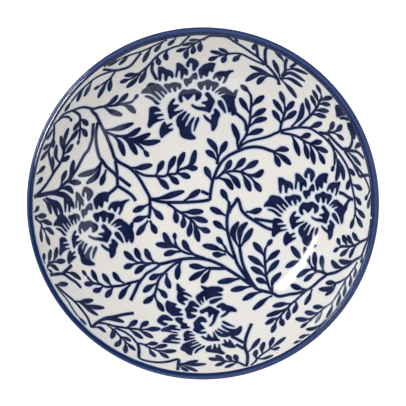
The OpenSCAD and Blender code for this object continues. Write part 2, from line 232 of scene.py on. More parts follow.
# Leaves that need a course of their own, from the root to the tip
LEAVES = [
    [(-14.9, 93.7), (-19.4, 89.2)],
    [(-31.5, 77), (-33.2, 72.8), (-35.8, 68)],
    [(-50, 55.8), (-46, 58.6), (-42.2, 62.4)],
    [(-56, 54.9), (-51.5, 57.5), (-48, 61.4)],
    [(-56.2, 54.8), (-52.2, 52.2), (-45.5, 49.8)],
    [(-46.5, 56.1), (-41.8, 54.6), (-38, 51)],
    [(-36, 73.6), (-40.5, 72.9), (-44.4, 72.2)],
    [(-35, 73.6), (-38.6, 69.4), (-43.3, 65.4)],
    [(-19.6, 87), (-20.9, 84.2), (-20.2, 80.9)],
    [(-0.6, 92.7), (-4, 92.6), (-7.8, 92.2)],
    [(-3.2, 91.1), (-7, 90.6), (-11.5, 89.4)],
    [(-1, 92.4), (-1.3, 89.4), (-1.4, 85.8)],
    [(-5, 90.1), (-5, 87.4), (-5.7, 84.5)],
    [(-7.4, 88.5), (-9.1, 85.4), (-9.4, 81.8)],
    [(-81, 22.3), (-83.3, 26.6), (-82.9, 33.2)],
    [(-78.3, 31.5), (-78, 37), (-76, 42.8)],
    [(-77, 33), (-74, 37), (-70.4, 41.8)],
    [(-69.8, 48), (-67.5, 46.6), (-65, 44)],
    [(-69.6, 42.8), (-67.6, 41), (-65.6, 37.6)],
    [(-22.5, 91.2), (-25, 88.5), (-27, 85.6)],
    [(-41, 84.3), (-44.5, 81), (-47.5, 78.2)],
    [(-62.5, 69.6), (-64.5, 65.5), (-67.2, 60.3)],
    [(-67, 65.5), (-69.5, 61.5), (-71.1, 57.3)],
    [(-46.5, 38), (-40.5, 39), (-35, 42.8)],
    [(-43, 36.8), (-36, 36.6), (-29.5, 39.6)],
    [(-40.5, 35.6), (-31.5, 34.2), (-23.8, 35.4)],
    [(-51, 38.6), (-47.2, 34.4), (-44.3, 26.6)],
    [(-45.5, 37.4), (-40.8, 33.4), (-37.2, 27.3)],
    [(-26.5, 15.6), (-24.6, 19.5), (-22.1, 24.2)],
    [(-20, 16.2), (-18.6, 20.5), (-15.3, 26.8)],
    [(-14.5, 17.4), (-13, 23), (-10.1, 29.1)],
    [(-11.5, 19.4), (-6.3, 22.3), (-3.9, 30.3)],
    [(-94.7, 16.2), (-89.2, 20.8)],
    [(-94.3, 10.5), (-90.5, 14.3)],
    [(-79, 27.5), (-76.5, 29.5), (-73.5, 33.5)],
    [(-80.5, 9.5), (-79.5, 13.5), (-77.2, 18.5)],
    [(-76.2, 13.2), (-74.5, 18), (-73.2, 24.5)],
    [(-81.5, 8), (-76.5, 8.4), (-73.4, 5.4)],
    [(-88, 4.8), (-80, 4.8), (-74, 1.4)],
    [(-90.5, 2.2), (-87.6, -1.2), (-85.9, -6.6)],
    [(-89.4, 2.7), (-84.7, -1.4), (-82.4, -7.8)],
    [(-88.6, 3), (-82.2, -1), (-79.3, -7.8)],
    [(-57, 24), (-61.8, 18.2), (-70.9, 15.3)],
    [(-57, 24), (-60.1, 15.8), (-66.2, 10.9)],
    [(-54.8, 18.9), (-58, 9.8)],
    [(-56.5, 41.2), (-48, 42.4), (-39, 45.4)],
    [(-41.6, 20), (-36, 20), (-28.4, 21.7)],
    [(-29.9, 2.5), (-25.3, 2.5), (-20.4, 3.5), (-16.6, 4.8), (-10.1, 6.7)],
    [(-10.5, 1), (-1, 7.5)],
    [(40.5, 29.2), (45.3, 30.6), (49.4, 30.2)],
    [(40.5, 29.2), (45.5, 26.3), (50.6, 21.6)],
    [(40.5, 29.2), (44.2, 20.4)],
    [(5.7, 12), (1.3, 20.8)],
    [(11.2, 17), (14.4, 20.6), (16.4, 24.6)],
    [(17.2, 18.2), (20.5, 21.2), (24.6, 25.6)],
    [(22.2, 18.2), (27, 21), (32, 24.1)],
    [(25.5, 16.1), (31.3, 15.8), (34.9, 19)],
    [(8.8, 14.4), (14.2, 12.3), (17.4, 7.3)],
    [(22.4, 17.2), (25.4, 11.6), (27.4, 6.4)],
    [(13.6, 17.5), (18.4, 13.4), (21.5, 8.2)],
    [(26.8, 43.6), (31.5, 47), (37, 48.2)],
    [(27.3, 50.5), (24.6, 54.5), (21.2, 60)],
    [(8.9, 25.7), (7.2, 31.5), (2.7, 36.7)],
    [(8.9, 25.7), (14, 35.2)],
    [(8.6, 24), (5, 27.8), (1.8, 29.8)],
    [(20.5, 30.6), (19.9, 34.1), (20.1, 37.5), (16.9, 45.4)],
    [(50.6, 43), (56, 49.5), (57.2, 57.1)],
    [(45.4, 46.4), (49.6, 49.2), (53.6, 52.3)],
    [(82.3, 29.5), (86.1, 25.7), (90.2, 21.1)],
    [(71.5, 40.2), (73.4, 43), (74.8, 46.2)],
    [(74.5, 40.2), (77, 41.5), (79.4, 44.4)],
    [(85, 10.6), (87.8, 9.3), (90.9, 7.6)],
    [(86.1, 4.2), (88, 2), (90.3, -1.2)],
    [(86.8, -2.4), (89.2, -5), (92.4, -8.5)],
    [(86.7, -6.2), (88.6, -9.8), (91.1, -14)],
    [(95.6, 4.5), (94.8, 1), (93.8, -3.4)],
    [(75.5, 28.7), (76.5, 25), (77.3, 21.5), (77.3, 17.7), (75.9, 12.2)],
    [(77.2, 24.8), (79.5, 20.2), (80.4, 12.8)],
    [(30.3, 91.6), (29, 86.8)],
    [(44.5, 70.5), (40.2, 81.4)],
    [(44.5, 70.5), (50, 73.8), (58.5, 68.9)],
    [(44.5, 70.5), (50, 70.4), (57, 65.8)],
    [(44.5, 70.5), (50, 64.7), (53.6, 59.6)],
    [(47.5, 75.3), (52, 76), (60.1, 73)],
    [(38.5, 72.2), (31.5, 73.2), (24.5, 69.2)],
    [(38, 72.4), (33.8, 70.6), (31.2, 67.4)],
    [(-30.5, -0.8), (-39.7, -5.1)],
    [(-30.3, -7.2), (-39.7, -10.4)],
    [(-30.8, -10), (-37.5, -18.6)],
    [(-30, -10), (-26.1, -17.7)],
    [(-29.3, -2), (-22.3, -9.7)],
    [(15.2, 0), (10.6, 7.9)],
    [(14, -7.6), (4.2, -2.7)],
    [(14, -16), (6.1, -10.4)],
    [(-12.5, -5.4), (-6, -5.2), (0.8, -4.9)],
    [(-8.5, -8.2), (-3, -9), (3.2, -10.8)],
    [(-11, -6.5), (-10.7, -10.5), (-11.3, -14.6)],
    [(-14.6, -25.2), (-19.3, -22.2), (-22.2, -16.7)],
    [(-14, -25.6), (-20, -24.4), (-26.8, -23.5)],
    [(-5.5, -28.9), (-8.8, -25.6), (-11.2, -21)],
    [(-12.6, -27.6), (-18, -28.4), (-22.1, -29.8)],
    [(-27, -34.3), (-30.4, -30.9), (-32.6, -26)],
    [(-33.6, -34), (-36.2, -30.8), (-38.3, -25.6)],
    [(-36.6, -34.3), (-40.6, -31.5), (-44.8, -27.5)],
    [(-29.8, -34.8), (-34.2, -36.6), (-38.6, -40.4)],
    [(-22.3, -40.2), (-26.4, -41.6), (-30.4, -43.7)],
    [(13.5, -28), (7, -25.6), (0, -24.2)],
    [(13.6, -29.2), (9.5, -29.6), (5.6, -29)],
    [(-58.5, -46.4), (-61, -42.5), (-63, -38)],
    [(-44.5, -45.8), (-48.2, -43.4), (-50.9, -39.3)],
    [(-56.5, -47.3), (-58.8, -49.4), (-62.4, -50.4)],
    [(-50.5, -47.5), (-52.4, -50.4), (-55.2, -53.9)],
    [(-41, -46.3), (-44.4, -50.2), (-47.4, -54.9)],
    [(24.7, -5.2), (29.5, -5), (34, -3.4)],
    [(21.3, -25.8), (18.6, -21.3), (17.5, -16.3), (20.8, -10.6)],
    [(21.3, -25.8), (21.6, -16), (25.8, -11)],
    [(21.3, -25.8), (24.7, -20.5), (28.7, -14.4)],
    [(22.8, -42.9), (8.5, -45.4)],
    [(28.1, -47.5), (16, -49.9)],
    [(3.4, -37.2), (-7.7, -35.7)],
    [(3.4, -37.2), (-7.7, -44.2)],
    [(5, -37.3), (-0.6, -45.9)],
    [(39.8, -50), (40.2, -44.8), (45, -39.7)],
    [(-12, -32.6), (-13.8, -37.5), (-14.4, -43.9)],
    [(-20.5, -40), (-20, -44.6), (-18.4, -49)],
    [(-25.8, -45.8), (-30, -47.9), (-33.8, -51)],
    [(-26.7, -50.8), (-29.6, -54.6), (-33.7, -57.2)],
    [(-26, -48.6), (-22.8, -51), (-20.2, -54.4)],
    [(86.4, -32.6), (81.5, -33.8), (77.5, -32.6)],
    [(80.5, -37), (76.2, -36), (73.3, -32.6)],
    [(59, -49.4), (54.5, -48.4), (50.2, -46.5)],
    [(50.8, -57.4), (46, -57.7), (39.8, -58.9)],
    [(48.7, -59.7), (44, -61.9), (36.3, -64.5)],
    [(44, -65), (40.5, -66.3), (35.7, -69.2)],
    [(44.9, -64), (44.7, -66.2), (46.1, -70.1)],
    [(49, -59.3), (49.1, -62), (48.4, -66.7)],
    [(53, -55.7), (53.4, -58.6), (51.7, -63)],
    [(69.8, -59.3), (66.5, -59.3), (62.8, -58.9)],
    [(66.4, -62.3), (62.6, -62.9), (58.2, -61.8)],
    [(63.4, -64.9), (58.8, -66.4), (52.7, -65.8)],
    [(68.2, -60.6), (67.2, -63.4), (64, -68.6)],
    [(73.8, -56.2), (73.2, -60), (70.3, -65.6)],
    [(77.7, -50), (77.8, -54), (76.5, -58.8)],
    [(81.2, -45), (81, -49), (80.3, -53.2)],
    [(76.6, -45.4), (71.8, -48.8), (66.1, -49)],
    [(76, -45.8), (74.2, -49.2), (69.7, -52.6)],
    [(86.6, -36.3), (87, -38.6), (86.1, -42.6)],
    [(83.9, -40.4), (84.2, -43.6), (83.6, -47.6)],
    [(78.8, -24.9), (77.9, -23), (76.7, -19.9)],
    [(82.4, -24.8), (81.3, -21.8), (79.7, -18.2)],
    [(86.4, -24.2), (84.1, -21.8), (82.4, -18.3)],
    [(90, -22.1), (87.6, -20.5), (85.2, -16.9)],
    [(84, -24.8), (81.6, -27.6), (78.1, -30.2)],
    [(87.8, -23.8), (85.4, -27.2), (83.5, -31.5)],
    [(34, -50.5), (28.5, -52.3), (22.8, -55.5)],
    [(39.9, -52.8), (36.1, -54.9), (28.7, -61)],
    [(57.4, -33), (52.8, -34), (47.2, -36.8)],
    [(58, -34), (54.3, -29.7), (50.5, -24.6)],
    [(62.4, -36.9), (60.6, -33), (58, -25)],
    [(68.9, -39.3), (68.2, -35.4), (67.8, -29.8)],
    [(64.9, -38.9), (64, -33.6), (63.8, -27.8)],
    [(63.8, -37.6), (59.2, -38.7), (53.5, -42.4)],
    [(65, -39.2), (61.6, -41.6), (57.7, -44.7)],
    [(91, -29.6), (90.1, -34.5)],
    [(70.3, -66.4), (66.8, -69.5), (63, -71.4), (58.8, -71.7)],
    [(61, -74.8), (54.7, -76.6)],
    [(57, -79), (51.7, -79.6)],
    [(62.4, -49), (60.8, -53.6), (58.2, -58.2)],
    [(25.8, -85), (28.9, -81.9), (32.7, -76.9)],
    [(31, -88.6), (30.1, -86.6), (30.6, -83.4)],
    [(34.2, -85.9), (33.9, -83), (35, -78.9)],
    [(38.1, -83.3), (38.9, -80.3), (40.5, -76.2)],
    [(38.6, -83), (41.4, -83), (44.2, -82)],
    [(31.2, -88.5), (35, -88.4), (40.4, -86.5)],
    [(-95.8, -5.4), (-94.6, -4.4), (-92.6, -2)],
    [(-95.2, -7.7), (-92.2, -7.5), (-88.5, -7.2)],
    [(-92.8, -10.7), (-89.6, -10.6), (-85.4, -12.2)],
    [(-90.6, -14.6), (-87.7, -15), (-84.3, -17.9)],
    [(-91.5, -12.4), (-91.7, -16.8), (-91.2, -22.5)],
    [(-84.9, -33.8), (-83.5, -30), (-82.5, -25.2)],
    [(-87.4, -35.2), (-86.9, -31), (-86, -26.4)],
    [(-89.8, -34.6), (-90.1, -31.8), (-89.5, -28.6)],
    [(-87.6, -35.4), (-84.8, -36), (-81.5, -38.3)],
    [(-77.6, -39.3), (-73.2, -40.6), (-69, -43.6)],
    [(-89, -38), (-85, -39.5)],
    [(-83.9, -46.8), (-80.5, -46.3), (-76.3, -45.9)],
    [(-72, -56), (-67.8, -56.1), (-62, -55.2)],
    [(-70, -56.4), (-64.5, -58.8), (-55.6, -59.7)],
    [(-70, -56.4), (-64.5, -60.6), (-59.2, -64)],
    [(-43, -71.1), (-40.3, -69.3), (-37, -66.7)],
    [(-35.4, -72), (-34.3, -70), (-30.6, -67.4)],
    [(-42.4, -71.2), (-38.6, -73.9), (-33.7, -77.3)],
    [(-36.8, -71.9), (-33, -74), (-27.9, -76.8)],
    [(-32.6, -80.6), (-29.4, -80.2), (-25.3, -79.8)],
    [(-28.6, -82.8), (-24.4, -81.8), (-19.9, -80.8)],
    [(-26.4, -83.6), (-21, -84.4), (-14.7, -84)],
    [(-30.3, -82.2), (-29.1, -84.8), (-26.6, -87.7)],
    [(-46.4, -76), (-43.7, -76.8), (-40.5, -78.7)],
    [(-44, -78.5), (-43.5, -81.5), (-44.1, -85.8)],
    [(-46.6, -76), (-46.8, -78.8), (-49.7, -81.6)],
    [(-57.1, -66.7), (-51, -66), (-44.3, -67.8)],
    [(-61.3, -70.6), (-58, -71.1), (-54.8, -73.7)],
    [(-54.2, -69.2), (-50.5, -72.8), (-51.8, -77.2)],
    [(-13.4, -91.4), (-8.5, -91), (-2.2, -89.6)],
    [(-13.4, -91.4), (-5, -92), (2.3, -91.5)],
    [(-12.8, -91.6), (-8, -93.5), (-2.7, -95.8)],
    [(-13.2, -91.8), (-10.8, -94), (-8.1, -96)],
]

# Where a blossom's crown sits, how far the blossom is turned, in degrees,
# then stretched to its left, its right, its far side and its near side by the slope that it lies on,
# and how far it leans: to the right for each step to the far side,
# and to the far side for each step to the right
RIGHT_BLOSSOM = ((60.5, -3), 0, (0.96, 0.83, 1.0, 1.0), (0, 0))
FAR_BLOSSOM = ((-7.8, 61.6), 0, (1.02, 1.05, 0.91, 1.15), (0.065, 0))
LEFT_BLOSSOM = ((-66.8, -13.9), 0, (0.67, 1.05, 1.01, 0.98), (0, 0))
NEAR_BLOSSOM = ((-1.3, -71), 82, (1.08, 1.06, 0.9, 0.61), (0, -0.05))
BLOSSOMS = [RIGHT_BLOSSOM, FAR_BLOSSOM, LEFT_BLOSSOM, NEAR_BLOSSOM]

# Petals that one blossom alone shows: of a blossom cut off by the band, and where a petal runs out further
ODD_PETALS = [
    [(75.7, 55.7), (78.8, 55.9), (80.8, 52.9), (79.8, 52), (80.4, 51.3), (82.5, 50.8), (81.6, 49.6),
     (78.7, 49.4), (77.2, 48.6), (76, 49), (75.8, 51.5), (75.3, 53.8)],
    [(77.5, 48.5), (79.4, 49.2), (81.3, 49), (83.5, 47.8), (84, 46.7), (82.1, 46.6), (80.7, 47.3),
     (78.4, 47.4)],
    [(82.1, 45.6), (84.9, 45.7), (86.6, 42.5), (87.5, 40.2), (87.1, 38.1), (86.6, 36.1), (85.5, 36.3),
     (84.6, 38.3), (83.8, 40.1), (82.7, 42.1), (82.2, 44)],
    [(86.4, 31.1), (87, 33), (88, 34.3), (90, 34.5), (90.6, 32.4), (88.7, 31.5), (87.4, 30.7)],
    [(-41, -14.5), (-39.8, -15), (-39, -17.5), (-38.8, -20), (-39.4, -22.5), (-40.6, -23), (-41.6, -21.5),
     (-41.8, -18)],
    [(-45.5, 1.3), (-42, 2.2), (-41.4, 1.6), (-43, 0.6), (-44.6, -1)],
    [(17.4, 59), (18.4, 58.6), (18.6, 55.6), (19.6, 52.6), (19, 50.4), (17.4, 49.6), (16.4, 50.2),
     (16.2, 53), (16.8, 56)],
    [(14.5, 75.5), (17.6, 75.6), (17.8, 74.8), (16.2, 74), (14.8, 72.6)],
    [(-14.8, -49.8), (-14.7, -46), (-13.6, -46.1), (-12, -48.2), (-9.3, -49.8), (-12, -50.4)],
    [(2, -48.4), (5, -47.6), (9, -47.6), (11.4, -48.4), (12.2, -49.8), (10.6, -50.8), (7, -50.8)],
]

# The petals of the right blossom, as outlines with their corners in order: the other blossoms repeat them
PETALS = [
    [(43.1, 13.9), (43.7, 14.6), (45.8, 14.3), (46.8, 13.5), (47.8, 12.8), (49.5, 12.3), (50.6, 11.8),
     (51.4, 10.9), (51.8, 9.2), (51.7, 7.6), (51.1, 7.2), (50.4, 8), (49.7, 8.7), (49, 8.6), (48.6, 7.6),
     (48.4, 6), (48, 5.5), (47.3, 5.5), (46.9, 7), (46.7, 9.2), (46.4, 10.2), (45.9, 10.4), (45.5, 10),
     (45.3, 7.6), (45.1, 5.8), (44.6, 5.4), (44, 5.7), (43.6, 7.5), (43.3, 10.7)],
    [(52.8, 16.2), (53.2, 16.8), (53.9, 17), (54.9, 16.6), (56, 15.9), (56.9, 14.8), (57.9, 13.7),
     (58.9, 12.9), (59.4, 11.6), (59.4, 9.6), (59.1, 8.8), (58.6, 9), (58.2, 9.6), (57.7, 9.9),
     (57.2, 9.5), (56.9, 8.2), (56.8, 7), (56.2, 6.5), (55.7, 6.9), (55.4, 8.6), (55.3, 10.7),
     (55.1, 11.9), (54.6, 12.3), (54.2, 11.7), (53.9, 9.9), (53.7, 8.2), (53.2, 7.5), (52.7, 8),
     (52.6, 9.6), (53, 13)],
    [(57.9, 15.9), (58.2, 14.8), (58.8, 14.1), (59.6, 14.1), (59.9, 14.9), (60, 16.2), (60.3, 16.7),
     (60.8, 16.8), (61.2, 16.2), (61.3, 14.7), (61.4, 13), (61.6, 12), (62.1, 11.7), (62.6, 12.1),
     (63.1, 13.2), (63.8, 14.5), (64.2, 15.8), (64, 17.1), (63.4, 18.3), (62.3, 19.2), (61.1, 19.8),
     (60.2, 19.9), (59.4, 19.4), (58.7, 18.2), (58.2, 17)],
    [(64.2, 12.7), (64.9, 13.7), (65.6, 14.9), (66.5, 15.9), (67.7, 16.5), (68.9, 17), (70.3, 17),
     (71.5, 16.7), (71.7, 15.9), (71.3, 14.5), (71, 13), (70.9, 11.6), (70.4, 11), (69.9, 11.4),
     (69.3, 11.8), (68.9, 11.3), (68.7, 9.9), (68.5, 8.5), (68, 8), (67.4, 8.5), (67, 9.1), (66.5, 9.2),
     (66.3, 8.4), (66.2, 7.5), (65.8, 7), (65.3, 7.1), (64.9, 8.3), (64.5, 9.9), (64.2, 11.4)],
    [(70.8, 7), (71, 8.3), (71.5, 9.7), (72.2, 10.8), (73.2, 11.4), (74.6, 11.8), (76.4, 11.7),
     (78, 12.1), (78.6, 11.8), (78.4, 10.6), (78, 9.3), (77.6, 7.8), (77.2, 6.3), (76.7, 5.2),
     (76.2, 4.2), (75.7, 4), (75.5, 4.7), (75.9, 6), (76.1, 7.4), (76, 8.4), (75.5, 8.6), (75, 7.6),
     (74.6, 6.5), (74.1, 5.6), (73.6, 5.6), (73.3, 6.5), (72.9, 7.6), (72.5, 7.9), (72, 7.7), (71.7, 6.9),
     (71.3, 6.6)],
    [(57.2, 6.4), (57.9, 7), (59.1, 7.1), (60.2, 7.2), (60.7, 7.9), (61.2, 9), (61.7, 9.8), (62.3, 10.5),
     (63, 10.8), (63.6, 10.2), (63.9, 8.9), (64, 7.5), (63.8, 6.6), (63.1, 6.5), (62.4, 6.8), (61.9, 6.6),
     (61.6, 5.6), (61.4, 4.4), (60.9, 3.9), (60.1, 3.8), (59.9, 3), (59.7, 2.3), (59.2, 2.1), (58.5, 2.8),
     (57.9, 3.9), (57.4, 5.2)],
    [(35, -1.8), (35.4, -0.5), (36.3, 0.6), (37.4, 1.5), (37.8, 2.6), (38.5, 3.8), (39.6, 4.4), (41, 4.4),
     (42.5, 4), (44, 3.7), (45, 2.9), (45.9, 2.1), (46.9, 0.9), (47.9, -0.2), (48.8, -1.3), (49, -2.2),
     (48.5, -2.7), (47.8, -2.5), (46.9, -1.4), (46, -0.5), (45.5, -0.8), (45.8, -1.4), (46.7, -2.5),
     (47.5, -3.4), (47.6, -4.1), (46.9, -4.4), (46, -3.6), (44.9, -2.5), (43.6, -1.3), (42.4, -0.6),
     (42, -1), (42.8, -1.8), (43.8, -2.9), (45.1, -4.1), (46, -5), (45.9, -5.7), (45.3, -5.8),
     (44.3, -5.3), (43.3, -4.4), (42, -3.4), (40.2, -2.5), (38.4, -2.2), (36.6, -2.2), (35.2, -2.3)],
    [(36.9, -3.6), (37.9, -3.3), (40, -3.6), (41.8, -4.5), (43.1, -5.6), (44.3, -6.6), (45.2, -7.3),
     (45, -7.9), (44.1, -8), (43, -7.5), (42, -6.7), (40.7, -5.6), (39.2, -4.8), (37.6, -4.3)],
    [(46.8, 2.5), (47.1, 3.3), (47.8, 3.9), (49.8, 3.8), (50.6, 4.3), (51.8, 4.7), (53.2, 4.7),
     (54.7, 4.4), (55.9, 3.8), (56.4, 2.6), (56.2, 1.3), (55.7, 0.4), (55.2, 0.3), (54.8, 1), (54.4, 1.8),
     (53.9, 2), (53.7, 1.3), (53.8, 0), (53.5, -1), (53, -1.4), (52.5, -0.7), (52, 0.1), (51.6, 1.1),
     (51, 1.5), (50.6, 0.9), (50.7, -0.3), (51.1, -1.2), (50.9, -1.7), (50.3, -1.6), (49.7, -1.1),
     (48.9, -0.2), (48.1, 0.9), (47.4, 1.7)],
    [(64.1, 3.2), (64.2, 4.3), (64.9, 5), (66.4, 5.3), (67.4, 5.7), (68.2, 6.4), (68.9, 6.5), (69.8, 6),
     (70.8, 5.3), (72.6, 5), (73.6, 4.3), (73.8, 3.2), (73.4, 2), (72.6, 0.9), (71.9, -0.2), (71.5, -0.9),
     (71, -0.9), (70.8, 0.3), (70.9, 1.8), (70.6, 2.8), (70.2, 2.5), (70, 1.3), (69.6, 0.2), (68.8, -0.2),
     (68.2, 0.3), (68, 1.8), (67.7, 2.9), (67.3, 3.1), (66.9, 2.5), (66.7, 1.1), (66.4, 0.1), (65.8, 0),
     (65.2, 0.7), (64.5, 2)],
    [(55.1, -3.4), (55.3, -2.3), (56, -1.3), (56.5, -0.5), (57.3, 0.3), (58.5, 0.3), (59.9, 0),
     (61.2, 0.5), (62.5, 0.8), (63.5, 0.3), (64.6, -0.5), (65.5, -1), (66.2, -1.9), (66.4, -3.3),
     (65.9, -4.8), (65, -5.6), (64.2, -6.1), (63.7, -5.9), (63.6, -5), (63.6, -3.8), (63.3, -2.9),
     (62.8, -2.7), (62.4, -3.2), (61.8, -4.1), (61, -5), (60.4, -5.6), (59.8, -5.6), (59.2, -4.9),
     (58.4, -4.1), (57.7, -3.6), (57.2, -3.8), (57.2, -4.9), (57.6, -6), (57.4, -6.8), (56.8, -7),
     (56, -6.5), (55.4, -5.6), (55, -4.4)],
    [(51.7, -5.3), (52.6, -4.8), (53.4, -4.9), (53.3, -6), (52.6, -6.9), (52.2, -7.5), (52.9, -7.9),
     (54.4, -7.8), (55.6, -7.9), (55.7, -8.5), (54.8, -9.2), (53.7, -10), (53.1, -10.6), (53.4, -11.2),
     (54.7, -11.1), (56.5, -10.7), (57.9, -10.3), (58.2, -10.7), (57.3, -11.4), (55.7, -12.2),
     (54.2, -13.1), (53, -13.8), (52.5, -14.5), (51.9, -15.1), (51.2, -15), (50.7, -14.2), (50.4, -12.9),
     (49.9, -11.4), (49.6, -9.8), (49.9, -8.3), (50.7, -6.7)],
    [(54.6, -16), (54.9, -14.7), (55.5, -13.5), (56.6, -12.7), (57.9, -11.8), (59, -11.1), (59.9, -11.2),
     (59.9, -11.9), (59.2, -12.9), (58.3, -14.4), (57.6, -15.3), (57.9, -15.8), (58.5, -15.3),
     (59.6, -13.7), (60.6, -12.5), (61.5, -12.2), (61.6, -12.8), (61.1, -14.2), (60.5, -16),
     (59.8, -17.6), (59.6, -18.5), (60.1, -18.8), (60.9, -17.8), (61.5, -16.3), (62.4, -14.9),
     (63.3, -14), (63.8, -14.1), (63.6, -15.3), (62.9, -17.1), (62.6, -18.6), (62.6, -20.2),
     (62.9, -21.8), (63.7, -22.9), (64.8, -23.8), (65, -24.7), (64.2, -25.2), (62.4, -25.3),
     (60.6, -24.9), (59, -24.4), (57.7, -23.5), (57, -22), (56.7, -20.4), (56.3, -19.4), (55.4, -18.5),
     (54.9, -17.3)],
    [(65, -14.3), (65.7, -14), (66, -14.7), (65.8, -16.2), (65.2, -17.9), (64.7, -19.5), (64.2, -21.2),
     (63.7, -21.1), (63.8, -19.3), (63.9, -17.5), (64.4, -15.6)],
    [(67.6, -13.1), (68.1, -12.8), (69, -13.6), (70, -14.5), (70.9, -15.3), (71.5, -15), (71.3, -14.1),
     (71.2, -13.2), (71.8, -12.7), (72.4, -12.3), (72.4, -11.4), (72.2, -10.3), (72.9, -9.7),
     (73.8, -10.3), (74.7, -11.4), (75.3, -12.4), (75.2, -13.7), (74.6, -15), (74.4, -16.6),
     (74.3, -18.1), (73.8, -19.4), (73.1, -20.6), (72.4, -21), (71.8, -20.7), (71.6, -19.4),
     (71.5, -18.1), (71.1, -17.2), (70, -16.4), (69, -15.5), (68.1, -14.4)],
    [(67.8, -2.6), (68.1, -1.7), (68.9, -1.3), (69.6, -1.7), (70.4, -3), (71.3, -4.3), (72.2, -5.4),
     (72.5, -6.5), (72.1, -7.9), (71.6, -9.1), (71.2, -10.4), (70.8, -11.6), (70.2, -12), (69.3, -11.5),
     (68, -11.1), (66.2, -10.7), (64.5, -10.3), (63.3, -9.6), (62.3, -8.8), (61.9, -7.9), (62.4, -7.6),
     (63.6, -8.4), (65.1, -8.9), (66.9, -8.9), (68.2, -9.1), (68.6, -8.7), (68.1, -7.9), (67.1, -7.5),
     (66.4, -7), (66.8, -6.5), (68, -6.2), (69, -5.9), (69.3, -5.2), (68.9, -4.3), (68.1, -3.5)],
    [(72.2, -1.7), (72.6, -1), (73.3, -0.1), (74.1, 0.9), (75.1, 1.7), (76.2, 1.9), (77.2, 1.5),
     (77.9, 0.6), (78.8, -0.1), (79.7, -1), (80.3, -1.8), (80.8, -1), (81.4, 0), (82.5, 0.3),
     (82.3, -1.5), (82.1, -2.9), (81.8, -4.4), (81.2, -5.6), (80.6, -6.7), (80.4, -8.3), (80.3, -9.8),
     (79.9, -11.5), (79.4, -12), (78.8, -11.6), (78.4, -10.1), (77.8, -8), (77, -6.2), (76, -4.8),
     (75, -4.1), (75.3, -3.5), (76.2, -3), (77.2, -2.5), (76.8, -2.1), (75.7, -2.3), (74.6, -2.8),
     (73.8, -2.9), (73.7, -2.3), (74.1, -1.7), (74.6, -1.2), (74.5, -0.8), (74, -1), (73.3, -1.5),
     (72.6, -2)],
    [(73.8, -6), (74.6, -5.6), (75.5, -5.8), (76.2, -6.9), (77, -8.5), (77.5, -10.1), (77.9, -11.6),
     (77.7, -12.3), (77, -11.8), (76.2, -10.7), (75.2, -9.6), (74.2, -8.3), (73.7, -7)],
    [(39.8, -10), (40.5, -9.1), (41.8, -8.7), (43.3, -8.8), (44.7, -9.4), (45.6, -10.2), (46.2, -10.9),
     (45.8, -11.3), (44.3, -11.4), (42.9, -11.8), (42.5, -12.2), (43.3, -12.5), (45.1, -12.4),
     (46.9, -12.4), (47.7, -12.7), (47.6, -13.3), (46.2, -13.6), (44.9, -14.1), (44.2, -14.6),
     (44.9, -15), (46.7, -15), (48.1, -14.8), (48.2, -15.3), (46.9, -15.8), (45.1, -16.3), (43.6, -17),
     (42.3, -17.9), (41.5, -18.9), (40.7, -19.5), (39.8, -19.1), (39.4, -17.9), (39.6, -16.6),
     (39.9, -15.2), (39.9, -12)],
    [(48.4, -16.3), (49, -16.6), (49.3, -17.3), (49.8, -17.9), (50.6, -17.6), (51.8, -17.1), (52.8, -17),
     (52.8, -17.7), (51.8, -18.4), (50.9, -19), (50.8, -19.5), (51.8, -19.8), (52.9, -19.5),
     (53.4, -19.9), (53, -20.7), (51.8, -21.3), (50.6, -22.2), (49.3, -23), (48.2, -24.1), (47.6, -24.5),
     (46.9, -24.1), (46.3, -22.8), (46, -21.2), (46.3, -19.4), (46.9, -17.9), (47.7, -16.8)],
]


